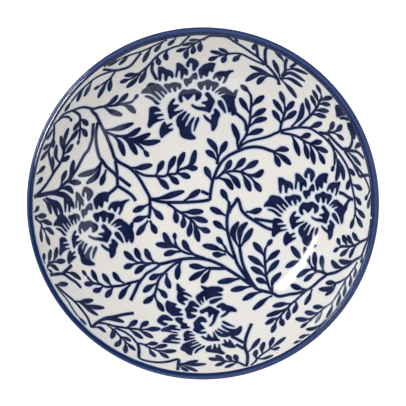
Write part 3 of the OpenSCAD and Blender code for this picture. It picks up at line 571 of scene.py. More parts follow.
class DishSizes(bpy.types.PropertyGroup):
    """Sizes of the turned pieces, in metres."""

    rim_r: bpy.props.FloatProperty(
        name="Rim radius", description="Radius over the outside of the lip", unit="LENGTH",
        default=CAD_BOX[1][0])
    height: bpy.props.FloatProperty(
        name="Height", description="From the table to the top of the lip", unit="LENGTH",
        default=CAD_BOX[1][2])
    well_r: bpy.props.FloatProperty(
        name="Floor radius", description="Radius of the flat floor of the well", unit="LENGTH",
        default=9.5 * MM)
    lip_t: bpy.props.FloatProperty(
        name="Lip thickness", description="Thickness of the wall at the lip", unit="LENGTH",
        default=1.8 * MM)
    floor_t: bpy.props.FloatProperty(
        name="Floor thickness", description="Thickness of the floor in the middle", unit="LENGTH",
        default=3.2 * MM)
    recess_h: bpy.props.FloatProperty(
        name="Recess height", description="Height of the underside's middle", unit="LENGTH",
        default=2.8 * MM)
    foot_r: bpy.props.FloatProperty(
        name="Foot radius", description="Outer radius of the foot ring on the table", unit="LENGTH",
        default=22 * MM)
    foot_w: bpy.props.FloatProperty(
        name="Foot width", description="Width of the foot ring on the table", unit="LENGTH",
        default=3 * MM)
    foot_draft: bpy.props.FloatProperty(
        name="Foot lean", description="Lean of the foot ring's two sides", subtype="ANGLE",
        default=math.radians(8))
    foot_edge_r: bpy.props.FloatProperty(
        name="Foot edge", description="Rounding of the standing edges", unit="LENGTH",
        default=0.5 * MM)
    glaze_t: bpy.props.FloatProperty(
        name="Glaze thickness", description="Thickness of every coat", unit="LENGTH",
        default=0.25 * MM)
    bare_h: bpy.props.FloatProperty(
        name="Bare height", description="Bare clay at the bottom of the foot ring", unit="LENGTH",
        default=1.2 * MM)
    pool_r: bpy.props.FloatProperty(
        name="Pool radius", description="Glaze pooled beside the foot ring", unit="LENGTH",
        default=1.2 * MM)
    band_in_w: bpy.props.FloatProperty(
        name="Band inside", description="Width of the band on the inner wall", unit="LENGTH",
        default=0.2 * MM)
    band_out_w: bpy.props.FloatProperty(
        name="Band outside", description="Width of the band on the outer wall", unit="LENGTH",
        default=1.4 * MM)
    sides: bpy.props.IntProperty(
        name="Sides", description="Sides of a turned piece", default=384, min=24)


class PrintSizes(bpy.types.PropertyGroup):
    """Sizes of the print on the well."""

    bough_r: bpy.props.FloatProperty(
        name="Bough half width", description="Half the width of a bough", unit="LENGTH",
        default=0.44 * MM)
    stem_r: bpy.props.FloatProperty(
        name="Stem half width", description="Half the width of a sprig's stem", unit="LENGTH",
        default=0.36 * MM)
    leaf_r: bpy.props.FloatProperty(
        name="Leaf half width", description="Half the width of a long leaf", unit="LENGTH",
        default=0.86 * MM)
    corner_r: bpy.props.FloatProperty(
        name="Petal corner", description="Rounding of a petal's corners", unit="LENGTH",
        default=0.12 * MM)
    stand: bpy.props.FloatProperty(
        name="Stand", description="How far the print stands over the glaze", unit="LENGTH",
        default=0.05 * MM)
    sink: bpy.props.FloatProperty(
        name="Sink", description="How far the print reaches into the glaze", unit="LENGTH",
        default=0.06 * MM)
    bleed_w: bpy.props.FloatProperty(
        name="Bleed", description="Width of the pale blue that runs out of the print", unit="LENGTH",
        default=0.66 * MM)


class DishColours(bpy.types.PropertyGroup):
    """Colours of the finishes."""

    white: bpy.props.FloatVectorProperty(
        name="White", description="Porcelain under clear glaze", subtype="COLOR", size=4,
        default=(0.847, 0.815, 0.762, 1))
    cool_white: bpy.props.FloatVectorProperty(
        name="Cool white", description="Porcelain where the glaze is thicker", subtype="COLOR", size=4,
        default=(0.817, 0.797, 0.765, 1))
    cobalt: bpy.props.FloatVectorProperty(
        name="Cobalt", description="Cobalt at its full strength", subtype="COLOR", size=4,
        default=(0.007, 0.011, 0.048, 1))
    thin_cobalt: bpy.props.FloatVectorProperty(
        name="Thin cobalt", description="Cobalt where it was laid thinner", subtype="COLOR", size=4,
        default=(0.016, 0.026, 0.085, 1))
    # Lighter blue over the lip's round: partly cobalt drawn thin, and partly painted sheen in place of light
    # mirrored on the round
    lip_cobalt_and_sheen: bpy.props.FloatVectorProperty(
        name="Lip cobalt", description="Cobalt drawn thin over the lip's round", subtype="COLOR", size=4,
        default=(0.044, 0.07, 0.185, 1))
    deep_cobalt: bpy.props.FloatVectorProperty(
        name="Deep cobalt", description="Cobalt gathered on the inside of the lip", subtype="COLOR", size=4,
        default=(0.008, 0.023, 0.088, 1))
    bleed: bpy.props.FloatVectorProperty(
        name="Bleed", description="Glaze tinted by the print beside it", subtype="COLOR", size=4,
        default=(0.6, 0.67, 0.84, 1))
    biscuit: bpy.props.FloatVectorProperty(
        name="Biscuit", description="Fired clay without glaze", subtype="COLOR", size=4,
        default=(0.62, 0.54, 0.44, 1))
    table: bpy.props.FloatVectorProperty(
        name="Table", description="The pale floor", subtype="COLOR", size=4,
        default=(0.9, 0.9, 0.9, 1))


class SauceDish(bpy.types.PropertyGroup):
    """Everything that a user can set on the dish."""

    sizes: bpy.props.PointerProperty(type=DishSizes)
    print_sizes: bpy.props.PointerProperty(type=PrintSizes)
    colours: bpy.props.PointerProperty(type=DishColours)


# Outlines of the turned pieces, as points of radius and height


def plus(point, step, length=1.0):
    """The point moved along a step."""
    return (point[0] + step[0] * length, point[1] + step[1] * length)


def between(start, end):
    """The step from one point to another."""
    return (end[0] - start[0], end[1] - start[1])


def down_angle(centre, point):
    """The heading of a point, seen from a centre and measured from straight down."""
    return math.atan2(point[0] - centre[0], centre[1] - point[1])


def arc(centre, radius, start, end, chords):
    """Points on a circle, with the headings measured from straight down."""
    headings = [start + (end - start) * i / chords for i in range(chords + 1)]
    return [(centre[0] + radius * math.sin(a), centre[1] - radius * math.cos(a)) for a in headings]


def meet(start, up, centre, radius):
    """First point where a line going up meets a circle."""
    v = between(centre, start)
    along = v[0] * up[0] + v[1] * up[1]
    out = v[0] ** 2 + v[1] ** 2 - radius ** 2
    return plus(start, up, -along - math.sqrt(along * along - out))


# Chords along each arc of the section: on a coat's face, and fewer on its side to the clay
WELL_CHORDS = 110
WALL_CHORDS = 60
BASE_CHORDS = 30
LIP_CHORDS = 30
BAND_IN_CHORDS = 3
BAND_OUT_CHORDS = 6
POOL_CHORDS = 10
FOOT_EDGE_CHORDS = 8
WELL_CLAY_CHORDS = 24
WALL_CLAY_CHORDS = 16
BASE_CLAY_CHORDS = 12
SEAT_CHORDS = 12
# The flat floor has one chord for this many of the inner wall's
WALL_TO_FLOOR_CHORDS = 5


class Section:
    """The dish's section: the arcs of the well, the lip and the underside, and the foot ring's sides."""

    def __init__(self, sizes):
        self.sizes = sizes
        self.lip_r = sizes.lip_t / 2
        self.lip_c = (sizes.rim_r - self.lip_r, sizes.height - self.lip_r)
        self.floor_z = sizes.recess_h + sizes.floor_t
        # Each arc starts level at the edge of the flat middle and ends where it touches the round of the lip
        run = self.lip_c[0] - sizes.well_r
        rise = self.lip_c[1] - self.floor_z
        self.inner_r = (run ** 2 + rise ** 2 - self.lip_r ** 2) / (2 * (rise + self.lip_r))
        self.inner_c = (sizes.well_r, self.floor_z + self.inner_r)
        rise = self.lip_c[1] - sizes.recess_h
        self.outer_r = (run ** 2 + rise ** 2 - self.lip_r ** 2) / (2 * (rise - self.lip_r))
        self.outer_c = (sizes.well_r, sizes.recess_h + self.outer_r)
        self.inner_lip_a = down_angle(self.inner_c, self.lip_c)
        self.outer_lip_a = down_angle(self.outer_c, self.lip_c)
        self.inner_band_a = self.inner_lip_a - sizes.band_in_w / self.inner_r
        self.outer_band_a = self.outer_lip_a - sizes.band_out_w / self.outer_r
        # A side of the foot ring is its place on the table, the way up it and the way out of the clay
        lean_in, lean_up = math.sin(sizes.foot_draft), math.cos(sizes.foot_draft)
        self.outside = ((sizes.foot_r, 0), (lean_in, lean_up), (lean_up, -lean_in))
        self.inside = ((sizes.foot_r - sizes.foot_w, 0), (-lean_in, lean_up), (-lean_up, -lean_in))

    def seat_angle(self, side):
        """Where a side of the foot ring meets the bare underside."""
        start, up, _ = side
        return down_angle(self.outer_c, meet(start, up, self.outer_c, self.outer_r - self.sizes.glaze_t))

    def pool(self, side):
        """The centre of the glaze pooled beside a side of the foot ring."""
        start, up, out = side
        pool_r = self.sizes.pool_r
        return meet(plus(start, out, self.sizes.glaze_t + pool_r), up, self.outer_c, self.outer_r + pool_r)

    def glaze_edge(self, side):
        """The edge of a coat on the foot ring, from the clay outwards."""
        start, up, out = side
        low = plus(start, up, self.sizes.bare_h / math.cos(self.sizes.foot_draft))
        return [low, plus(low, out, self.sizes.glaze_t)]

    def pool_line(self, side):
        """Glaze pooled in the corner, from the foot ring's side to the underside."""
        _, _, out = side
        centre = self.pool(side)
        start = down_angle((0, 0), (-out[0], -out[1]))
        end = down_angle(centre, self.outer_c)
        while end - start > math.pi:
            end -= 2 * math.pi
        while end - start < -math.pi:
            end += 2 * math.pi
        return arc(centre, self.sizes.pool_r, start, end, POOL_CHORDS)

    def foot_line(self, side):
        """The face of a coat from its pool down the foot ring's side, and across its edge to the clay."""
        return self.pool_line(side)[::-1][1:] + self.glaze_edge(side)[::-1]

    def well_line(self, depth, chords):
        """The floor and the inner wall up to the band, from the axis outwards."""
        floor_chords = chords // WALL_TO_FLOOR_CHORDS
        floor = [(self.sizes.well_r * i / floor_chords, self.floor_z - depth) for i in range(floor_chords)]
        return floor + arc(self.inner_c, self.inner_r + depth, 0, self.inner_band_a, chords)

    def lip_line(self, depth):
        """The round of the lip, from the band's inner edge to its outer edge."""
        start = down_angle(self.lip_c, self.inner_c) % (2 * math.pi)
        end = down_angle(self.outer_c, self.lip_c)
        round_lip = arc(self.lip_c, self.lip_r - depth, start, end, LIP_CHORDS)
        inner = arc(self.inner_c, self.inner_r + depth, self.inner_band_a, self.inner_lip_a, BAND_IN_CHORDS)
        outer = arc(self.outer_c, self.outer_r - depth, self.outer_lip_a, self.outer_band_a, BAND_OUT_CHORDS)
        return inner[:-1] + round_lip + outer[1:]

    def wall_line(self, depth, lowest, chords):
        """The outer wall from the band down."""
        return arc(self.outer_c, self.outer_r - depth, self.outer_band_a, lowest, chords)

    def base_line(self, depth, highest, chords):
        """The underside inside the foot ring, inwards to the axis."""
        middle = (0, self.sizes.recess_h + depth)
        return arc(self.outer_c, self.outer_r - depth, highest, 0, chords) + [middle]


# Helpers that build node trees

# Points nearer than this are one
WELD_GAP = 0.0005 * MM


def add_node(tree, kind, links=None, **settings):
    """Adds a node: settings are its own attributes, and links gives values or sockets for its inputs."""
    node = tree.nodes.new(kind)
    for name, value in settings.items():
        setattr(node, name, value)
    for key, value in (links or {}).items():
        if isinstance(value, bpy.types.NodeSocket):
            tree.links.new(value, node.inputs[key])
        else:
            node.inputs[key].default_value = value
    return node


def calc(tree, operation, *values):
    """A Math node's result."""
    return add_node(tree, "ShaderNodeMath", dict(enumerate(values)), operation=operation).outputs[0]


def vector_calc(tree, operation, *values, **named):
    """A Vector Math node's result: a number where it measures, and a vector otherwise."""
    node = add_node(tree, "ShaderNodeVectorMath", {**dict(enumerate(values)), **named}, operation=operation)
    return node.outputs["Value" if operation in ("LENGTH", "DOT_PRODUCT") else "Vector"]


def parts_of(tree, vector):
    """A vector's X, Y and Z."""
    return add_node(tree, "ShaderNodeSeparateXYZ", {"Vector": vector}).outputs


def vector_from(tree, **parts):
    """A vector from its X, Y and Z, each nought where it isn't given."""
    return add_node(tree, "ShaderNodeCombineXYZ", parts).outputs[0]


def point_place(tree):
    """Where each point of a geometry is."""
    return add_node(tree, "GeometryNodeInputPosition").outputs[0]


def put_at(tree, geometry, place):
    """Moves each point of a geometry to its place."""
    return add_node(tree, "GeometryNodeSetPosition", {"Geometry": geometry, "Position": place}).outputs[0]


def stored(tree, geometry, name, value, kind):
    """Keeps a value for each point of a geometry under a name."""
    return add_node(tree, "GeometryNodeStoreNamedAttribute",
                    {"Geometry": geometry, "Name": name, "Value": value},
                    data_type=kind, domain="POINT").outputs[0]


def kept(tree, name, kind):
    """The value kept under a name."""
    return add_node(tree, "GeometryNodeInputNamedAttribute", {"Name": name}, data_type=kind).outputs[0]


def welded(tree, geometry):
    """Joins the points that meet."""
    return add_node(tree, "GeometryNodeMergeByDistance",
                    {"Geometry": geometry, "Distance": WELD_GAP}).outputs[0]


def new_tree(name, inputs):
    """A geometry tree with a geometry input, named inputs and a geometry output."""
    tree = bpy.data.node_groups.new(name, "GeometryNodeTree")
    tree.interface.new_socket("Geometry", in_out="OUTPUT", socket_type="NodeSocketGeometry")
    tree.interface.new_socket("Geometry", in_out="INPUT", socket_type="NodeSocketGeometry")
    for label, kind in inputs:
        tree.interface.new_socket(label, in_out="INPUT", socket_type=kind)
    return tree, add_node(tree, "NodeGroupInput"), add_node(tree, "NodeGroupOutput")


def tree_of(build, name):
    """The node tree of that name, built when it is first asked for."""
    return bpy.data.node_groups.get(name) or build(name)


def close_tree(tree, geometry, material_socket, output):
    """Ends a tree with Realize Instances and Set Material."""
    real = add_node(tree, "GeometryNodeRealizeInstances", {"Geometry": geometry})
    dressed = add_node(tree, "GeometryNodeSetMaterial",
                       {"Geometry": real.outputs[0], "Material": material_socket})
    tree.links.new(dressed.outputs[0], output.inputs[0])


def baked(source, tree, values, name):
    """Runs a tree on an object and returns the result as a plain mesh object."""
    modifier = source.modifiers.new(tree.name, "NODES")
    modifier.node_group = tree
    sockets = {item.name: item.identifier for item in tree.interface.items_tree if item.in_out == "INPUT"}
    for label, value in values.items():
        modifier[sockets[label]] = value
    depsgraph = bpy.context.evaluated_depsgraph_get()
    mesh = bpy.data.meshes.new_from_object(source.evaluated_get(depsgraph), depsgraph=depsgraph)
    source.modifiers.remove(modifier)
    data = source.data
    bpy.data.objects.remove(source)
    if data.users == 0:
        (bpy.data.curves if isinstance(data, bpy.types.Curve) else bpy.data.meshes).remove(data)
    mesh.name = name
    piece = bpy.data.objects.new(name, mesh)
    bpy.context.scene.collection.objects.link(piece)
    if not mesh.polygons:
        raise RuntimeError(f"{name} came out empty")
    return piece


def shell_of(face, seen):
    """The faces that hang together with a face."""
    shell, waiting = [], [face]
    seen.add(face)
    while waiting:
        face = waiting.pop()
        shell.append(face)
        for edge in face.edges:
            for other in edge.link_faces:
                if other not in seen:
                    seen.add(other)
                    waiting.append(other)
    return shell


def faced_outwards(mesh):
    """Turns the faces of closed shells outwards: a shell with a volume below nought is inside out."""
    bm = bmesh.new()
    bm.from_mesh(mesh)
    bmesh.ops.recalc_face_normals(bm, faces=bm.faces)
    seen = set()
    for first in bm.faces:
        if first in seen:
            continue
        shell = shell_of(first, seen)
        middle = first.verts[0].co
        volume = 0.0
        for face in shell:
            a, *rest = [vertex.co - middle for vertex in face.verts]
            volume += sum(a.dot(b.cross(c)) for b, c in zip(rest, rest[1:]))
        if volume < 0:
            bmesh.ops.reverse_faces(bm, faces=shell)
    bm.to_mesh(mesh)
    bm.free()


# Edges of a turned piece that turn by more than this stay sharp
SHARP_ANGLE = math.radians(40)


def lathe_tree(name):
    """Turns the points of a section about Z. The section's share of the way along is kept as "along"."""
    tree, given, output = new_tree(name, [("Sides", "NodeSocketInt"), ("Material", "NodeSocketMaterial")])
    section, sides = given.outputs["Geometry"], given.outputs["Sides"]
    points = add_node(tree, "GeometryNodeAttributeDomainSize", {"Geometry": section}, component="MESH")
    count = points.outputs["Point Count"]
    grid = add_node(tree, "GeometryNodeMeshGrid",
                    {"Vertices X": calc(tree, "ADD", sides, 1.0), "Vertices Y": count})
    index = add_node(tree, "GeometryNodeInputIndex").outputs[0]
    row = calc(tree, "MODULO", index, count)
    turn = calc(tree, "FLOOR", calc(tree, "DIVIDE", calc(tree, "ADD", index, 0.5), count))
    angle = calc(tree, "DIVIDE", calc(tree, "MULTIPLY", turn, 2 * math.pi), sides)
    sample = add_node(tree, "GeometryNodeSampleIndex",
                      {"Geometry": section, "Value": point_place(tree), "Index": row},
                      data_type="FLOAT_VECTOR", domain="POINT")
    parts = parts_of(tree, sample.outputs[0])
    turned = vector_from(tree, X=calc(tree, "MULTIPLY", parts["X"], calc(tree, "COSINE", angle)),
                         Y=calc(tree, "MULTIPLY", parts["X"], calc(tree, "SINE", angle)), Z=parts["Z"])
    marked = stored(tree, grid.outputs["Mesh"], "along", calc(tree, "DIVIDE", row, count), "FLOAT")
    close_tree(tree, welded(tree, put_at(tree, marked, turned)), given.outputs["Material"], output)
    return tree


def turned_piece(name, section, material, sides):
    """A closed section turned about Z into a smooth closed shell."""
    mesh = bpy.data.meshes.new(name + "_section")
    points = section if section[0][0] == section[-1][0] == 0 else section + [section[0]]
    mesh.from_pydata([(r, 0, z) for r, z in points], [], [])
    source = bpy.data.objects.new(name + "_section", mesh)
    bpy.context.scene.collection.objects.link(source)
    piece = baked(source, tree_of(lathe_tree, "Turn About Z"), {"Sides": sides, "Material": material}, name)
    faced_outwards(piece.data)
    piece.data.polygons.foreach_set("use_smooth", [True] * len(piece.data.polygons))
    piece.data.set_sharp_from_angle(angle=SHARP_ANGLE)
    return piece


# The print's sheet: the well unrolled along its section, so that a place's radius is its way from the axis


class Sheet:
    """Turns places seen from above into places on the sheet."""

    def __init__(self, section):
        self.section = section
        self.unit = section.sizes.rim_r / 100
        self.flat = section.sizes.well_r
        self.arc_r = section.inner_r
        self.edge = self.flat + self.arc_r * section.inner_band_a

    def way(self, radius):
        """The way along the section to a radius seen from above."""
        if radius <= self.flat:
            return radius
        return self.flat + self.arc_r * math.asin((radius - self.flat) / self.arc_r)

    def place(self, point, margin=0.0):
        """A place in hundredths of the rim's radius, put on the sheet and held inside the band."""
        x, y = ((p + shift) * self.unit for p, shift in zip(point, PRINT_SHIFT))
        radius = math.hypot(x, y)
        widest = self.flat + self.arc_r * math.sin(self.section.inner_band_a)
        way = min(self.way(min(radius, widest)), self.edge - margin)
        return (x * way / radius, y * way / radius) if radius else (0.0, 0.0)

    def growth(self, place, at_band):
        """How much wider a stroke is here than in the middle, for its growth at the band."""
        share = (math.hypot(*place) / self.edge - GROWTH_START) / (1 - GROWTH_START)
        return 1 + at_band * max(0.0, share)


def wrap_nodes(tree, geometry, given):
    """Lays a flat sheet on the well, no further out than the edge.

    Z on the sheet is the height over the glaze.
    """
    parts = parts_of(tree, point_place(tree))
    flat = vector_from(tree, X=parts["X"], Y=parts["Y"])
    way = calc(tree, "MINIMUM", vector_calc(tree, "LENGTH", flat), given.outputs["Edge"])
    floor_r, arc_r = given.outputs["Floor radius"], given.outputs["Arc radius"]
    climb = calc(tree, "DIVIDE", calc(tree, "MAXIMUM", calc(tree, "SUBTRACT", way, floor_r), 0.0), arc_r)
    to_centre = calc(tree, "SUBTRACT", arc_r, parts["Z"])
    radius = calc(tree, "ADD", calc(tree, "MINIMUM", way, floor_r),
                  calc(tree, "MULTIPLY", to_centre, calc(tree, "SINE", climb)))
    drop = calc(tree, "MULTIPLY", to_centre, calc(tree, "COSINE", climb))
    height = calc(tree, "SUBTRACT", calc(tree, "ADD", given.outputs["Floor height"], arc_r), drop)
    out = vector_calc(tree, "SCALE", vector_calc(tree, "NORMALIZE", flat), Scale=radius)
    return put_at(tree, geometry, vector_calc(tree, "ADD", out, vector_from(tree, Z=height)))


WRAP_LENGTHS = ("Floor radius", "Floor height", "Arc radius", "Edge", "Stand", "Sink", "Spread")
WRAP_INPUTS = [(label, "NodeSocketFloat") for label in WRAP_LENGTHS] + [("Material", "NodeSocketMaterial")]
PETAL_INPUTS = WRAP_INPUTS + [("Corner", "NodeSocketFloat")]

# How far a stroke's root lies under its lower edges
STROKE_ROOT = 0.08 * MM
# The height over or under its line that tells a stroke's upper edges and its root from its lower edges
LEVEL_SLACK = 0.001 * MM
# Points on a stroke's box: its four corners and the middles of its four sides
BOX_POINTS = 8
# Points that round a corner of a petal
CORNER_POINTS = 2


def rounded_nodes(tree, given):
    """Rounds the corners of the given curves."""
    return add_node(tree, "GeometryNodeFilletCurve",
                    {"Curve": given.outputs["Geometry"], "Radius": given.outputs["Corner"],
                     "Limit Radius": True, "Count": CORNER_POINTS}, mode="POLY").outputs[0]


def lay_strokes(tree, lines, given, output):
    """Ends a tree with flat ribbons along the lines, as wide as each point's radius, laid on the well.

    The sides slope from the upper edges down and out by the spread, with "bleed" from 1 to 0, and then go
    straight down to the root, which is hidden in the glaze.
    """
    place = point_place(tree)
    marked = stored(tree, lines, "spine", place, "FLOAT_VECTOR")
    upright = add_node(tree, "GeometryNodeSetCurveNormal", {"Curve": marked}, mode="Z_UP")
    box = add_node(tree, "GeometryNodeCurvePrimitiveQuadrilateral", {"Width": 2.0, "Height": 2.0})
    profile = add_node(tree, "GeometryNodeResampleCurve", {"Curve": box.outputs[0], "Count": BOX_POINTS})
    radius = add_node(tree, "GeometryNodeInputRadius").outputs[0]
    swept = add_node(tree, "GeometryNodeCurveToMesh",
                     {"Curve": upright.outputs[0], "Profile Curve": profile.outputs[0], "Scale": radius,
                      "Fill Caps": True})
    spine = kept(tree, "spine", "FLOAT_VECTOR")
    aside = vector_calc(tree, "SUBTRACT", place, spine)
    rise = parts_of(tree, aside)["Z"]
    root = calc(tree, "LESS_THAN", rise, -LEVEL_SLACK)
    above = calc(tree, "GREATER_THAN", rise, LEVEL_SLACK)
    tinted = stored(tree, swept.outputs[0], "bleed", above, "FLOAT")
    above = kept(tree, "bleed", "FLOAT")
    aside = vector_calc(tree, "NORMALIZE", vector_calc(tree, "MULTIPLY", aside, (1, 1, 0)))
    out = calc(tree, "MULTIPLY", calc(tree, "SUBTRACT", 1.0, above), given.outputs["Spread"])
    moved = parts_of(tree, vector_calc(tree, "ADD", place, vector_calc(tree, "SCALE", aside, Scale=out)))
    own_level = parts_of(tree, spine)["Z"]
    depth = calc(tree, "ADD", calc(tree, "ADD", given.outputs["Stand"], given.outputs["Sink"]), own_level)
    z = calc(tree, "SUBTRACT", calc(tree, "MULTIPLY", above, depth), given.outputs["Sink"])
    z = calc(tree, "SUBTRACT", z, calc(tree, "MULTIPLY", root, STROKE_ROOT))
    flat = put_at(tree, tinted, vector_from(tree, X=moved["X"], Y=moved["Y"], Z=z))
    close_tree(tree, wrap_nodes(tree, flat, given), given.outputs["Material"], output)


def stroke_tree(name):
    """Brush strokes along the sheet's curves."""
    tree, given, output = new_tree(name, WRAP_INPUTS)
    lay_strokes(tree, given.outputs["Geometry"], given, output)
    return tree


def outline_tree(name):
    """Strokes along outlines with rounded corners."""
    tree, given, output = new_tree(name, PETAL_INPUTS)
    lay_strokes(tree, rounded_nodes(tree, given), given, output)
    return tree


def petal_tree(name):
    """Petals: closed outlines with rounded corners, filled, given their thickness and laid on the well."""
    tree, given, output = new_tree(name, PETAL_INPUTS)
    each = add_node(tree, "GeometryNodeInputIndex").outputs[0]
    filled = add_node(tree, "GeometryNodeFillCurve", {"Curve": rounded_nodes(tree, given), "Group ID": each},
                      mode="TRIANGLES")
    fine = add_node(tree, "GeometryNodeSubdivideMesh", {"Mesh": filled.outputs[0], "Level": 1})
    stand = given.outputs["Stand"]
    top = add_node(tree, "GeometryNodeSetPosition",
                   {"Geometry": fine.outputs[0], "Offset": vector_from(tree, Z=stand)}).outputs[0]
    depth = calc(tree, "ADD", stand, given.outputs["Sink"])
    down = vector_from(tree, Z=calc(tree, "MULTIPLY", depth, -1.0))
    walls = add_node(tree, "GeometryNodeExtrudeMesh",
                     {"Mesh": top, "Offset": down, "Offset Scale": 1.0, "Individual": False}, mode="FACES")
    whole = add_node(tree, "GeometryNodeJoinGeometry")
    tree.links.new(top, whole.inputs[0])
    tree.links.new(walls.outputs[0], whole.inputs[0])
    merged = welded(tree, whole.outputs[0])
    close_tree(tree, wrap_nodes(tree, merged, given), given.outputs["Material"], output)
    return tree


def smooth_line(points, step):
    """A smooth line through the points, with a point about every step."""
    if len(points) == 2:
        points = [points[0], plus(points[0], between(*points), 0.5), points[1]]
    before = plus(points[0], between(points[1], points[0]))
    after = plus(points[-1], between(points[-2], points[-1]))
    padded = [before, *points, after]
    line = []
    for a, b, c, d in zip(padded, padded[1:], padded[2:], padded[3:]):
        count = max(2, math.ceil(math.dist(b, c) / step))
        for i in range(count):
            t = i / count
            line.append(tuple(
                0.5 * (2 * q + (r - p) * t + (2 * p - 5 * q + 4 * r - s) * t ** 2
                       + (3 * q - p - 3 * r + s) * t ** 3)
                for p, q, r, s in zip(a, b, c, d)))
    return line + [points[-1]]


# A leaf's half width at shares of its length, as a share of its widest one: the stalk, the blade and the tip
LEAF_SHARES = [(0, 0.34), (0.18, 0.34), (0.3, 0.48), (0.42, 0.76), (0.52, 0.95), (0.62, 1.0), (0.72, 0.95),
               (0.82, 0.83), (0.92, 0.6), (1, 0.22)]
# A leaf that bends over from a stem has this many steps
LEAF_STEPS = 14
# Other lines have a point about every so many hundredths of the rim's radius
LINE_STEP = 1.2
# A leaf is at least this many hundredths long, or this many times as long as its tip is far from the stem
LEAF_LENGTH = 8.5
LEAF_REACH_SHARE = 1.35
# How long it keeps to the stem's heading, as a share of its length
LEAF_BEND_SHARE = 0.14
# A leaf shorter than this many half widths is drawn narrower
LEAF_SLENDER = 4.4
# Stems and leaves grow wider towards the band by these shares, from this share of the way on
STEM_GROWTH = 0.22
LEAF_GROWTH = 0.02
GROWTH_START = 0.3


def share_at(shares, t):
    """A value between the listed shares."""
    for (t0, v0), (t1, v1) in zip(shares, shares[1:]):
        if t <= t1:
            return v0 + (v1 - v0) * (t - t0) / (t1 - t0)
    return shares[-1][1]


def leaf_stroke(line, sizes):
    """A line with a leaf's half width at each of its points: it starts as wide as the stem."""
    ways = [0.0]
    for a, b in zip(line, line[1:]):
        ways.append(ways[-1] + math.dist(a, b))
    length = ways[-1]
    widest = sizes.leaf_r * min(1.0, length / (LEAF_SLENDER * sizes.leaf_r))
    halves = [widest * share_at(LEAF_SHARES, way / length) for way in ways]
    halves[0] = sizes.stem_r
    return list(zip(line, halves))


def leaf_from_stem(stem, tip, sizes, shortest):
    """A leaf that leaves the stem along its way and bends over to the tip."""
    root = min(range(len(stem)), key=lambda i: math.dist(stem[i], tip))
    length = max(shortest, LEAF_REACH_SHARE * math.dist(stem[root], tip))
    while root > 0 and math.dist(stem[root], tip) < length:
        root -= 1
    ahead = stem[min(root + 1, len(stem) - 1)]
    heading = between(stem[root], ahead) if ahead != stem[root] else between(stem[root - 1], stem[root])
    size = math.hypot(*heading)
    reach = LEAF_BEND_SHARE * math.dist(stem[root], tip)
    bend = plus(stem[root], heading, reach / size)
    line = []
    for i in range(LEAF_STEPS + 1):
        t = i / LEAF_STEPS
        line.append(tuple((1 - t) ** 2 * p + 2 * t * (1 - t) * q + t ** 2 * r
                          for p, q, r in zip(stem[root], bend, tip)))
    return leaf_stroke(line, sizes)


def print_strokes(sheet, sizes):
    """Every stem and leaf of the print as a line of places and half widths on the sheet."""
    step = LINE_STEP * sheet.unit
    shortest = LEAF_LENGTH * sheet.unit
    stems, leaves = [], []
    for ends_in_leaf, rows in ((False, BOUGHS), (True, SPRIGS)):
        for points, tips in rows:
            places = [sheet.place(p, sizes.stem_r) for p in points]
            line = smooth_line(places, step)
            if ends_in_leaf:
                last = max(i for i, p in enumerate(line) if p == places[-2])
                leaves.append(leaf_stroke(line[last:], sizes))
                line = line[:last + 1]
            half = sizes.stem_r if ends_in_leaf else sizes.bough_r
            stems.append([(p, half) for p in line])
            leaves += [leaf_from_stem(line, sheet.place(tip, sizes.stem_r), sizes, shortest) for tip in tips]
    for points in LEAVES:
        line = smooth_line([sheet.place(p, sizes.stem_r) for p in points], step)
        leaves.append(leaf_stroke(line, sizes))
    return [[[(p, half * sheet.growth(p, growth)) for p, half in line] for line in lines]
            for lines, growth in ((stems, STEM_GROWTH), (leaves, LEAF_GROWTH))]


def turned_about(point, degrees):
    """A place turned about the origin."""
    a = math.radians(degrees)
    return (point[0] * math.cos(a) - point[1] * math.sin(a), point[0] * math.sin(a) + point[1] * math.cos(a))


def stretched(step, stretch, undo=False):
    """A step from a crown, stretched to its own side, or brought back to the unstretched blossom."""
    left, right, far, near = stretch
    by = (left if step[0] < 0 else right, far if step[1] > 0 else near)
    return (step[0] / by[0], step[1] / by[1]) if undo else (step[0] * by[0], step[1] * by[1])


def print_petals(sheet):
    """The outlines of all the blossoms' petals on the sheet."""
    outlines = [list(corners) for corners in ODD_PETALS]
    home, _, home_stretch, _ = RIGHT_BLOSSOM
    for crown, turn, stretch, lean in BLOSSOMS:
        for corners in PETALS:
            outline = []
            for corner in corners:
                step = turned_about(stretched(between(home, corner), home_stretch, undo=True), turn)
                x, y = stretched(step, stretch)
                outline.append(plus(crown, (x + lean[0] * y, y + lean[1] * x)))
            outlines.append(outline)
    return [[sheet.place(p) for p in outline] for outline in outlines]


# Stems, leaves and petals stand over the glaze by these shares of the print's stand
STEM_LIFT = 1.0
LEAF_LIFT = 1.25
PETAL_LIFT = 1.5
# The bleed's upper and lower edges stand over the glaze by these shares of the print's stand
BLEED_STAND = 0.6
BLEED_FOOT = 0.25
# How much of the bleed's width strokes and petals have
STROKE_SPREAD = 1.0
PETAL_SPREAD = 0.75
# Half the width of the line around a petal that its bleed runs out from
PETAL_EDGE = 0.1 * MM
# Strokes that cross lie at heights of their own: the step between two heights, and how many there are
STROKE_STEP = 0.0018 * MM
STROKE_LEVELS = 7


def curve_object(name, lines, closed):
    """One curve object with a poly spline for each line of places and half widths."""
    curve = bpy.data.curves.new(name, "CURVE")
    curve.dimensions = "3D"
    for i, line in enumerate(lines):
        spline = curve.splines.new("POLY")
        spline.points.add(len(line) - 1)
        for target, ((x, y), half) in zip(spline.points, line):
            target.co = (x, y, STROKE_STEP * (i % STROKE_LEVELS), 1)
            target.radius = half
        spline.use_cyclic_u = closed
    source = bpy.data.objects.new(name, curve)
    bpy.context.scene.collection.objects.link(source)
    return source


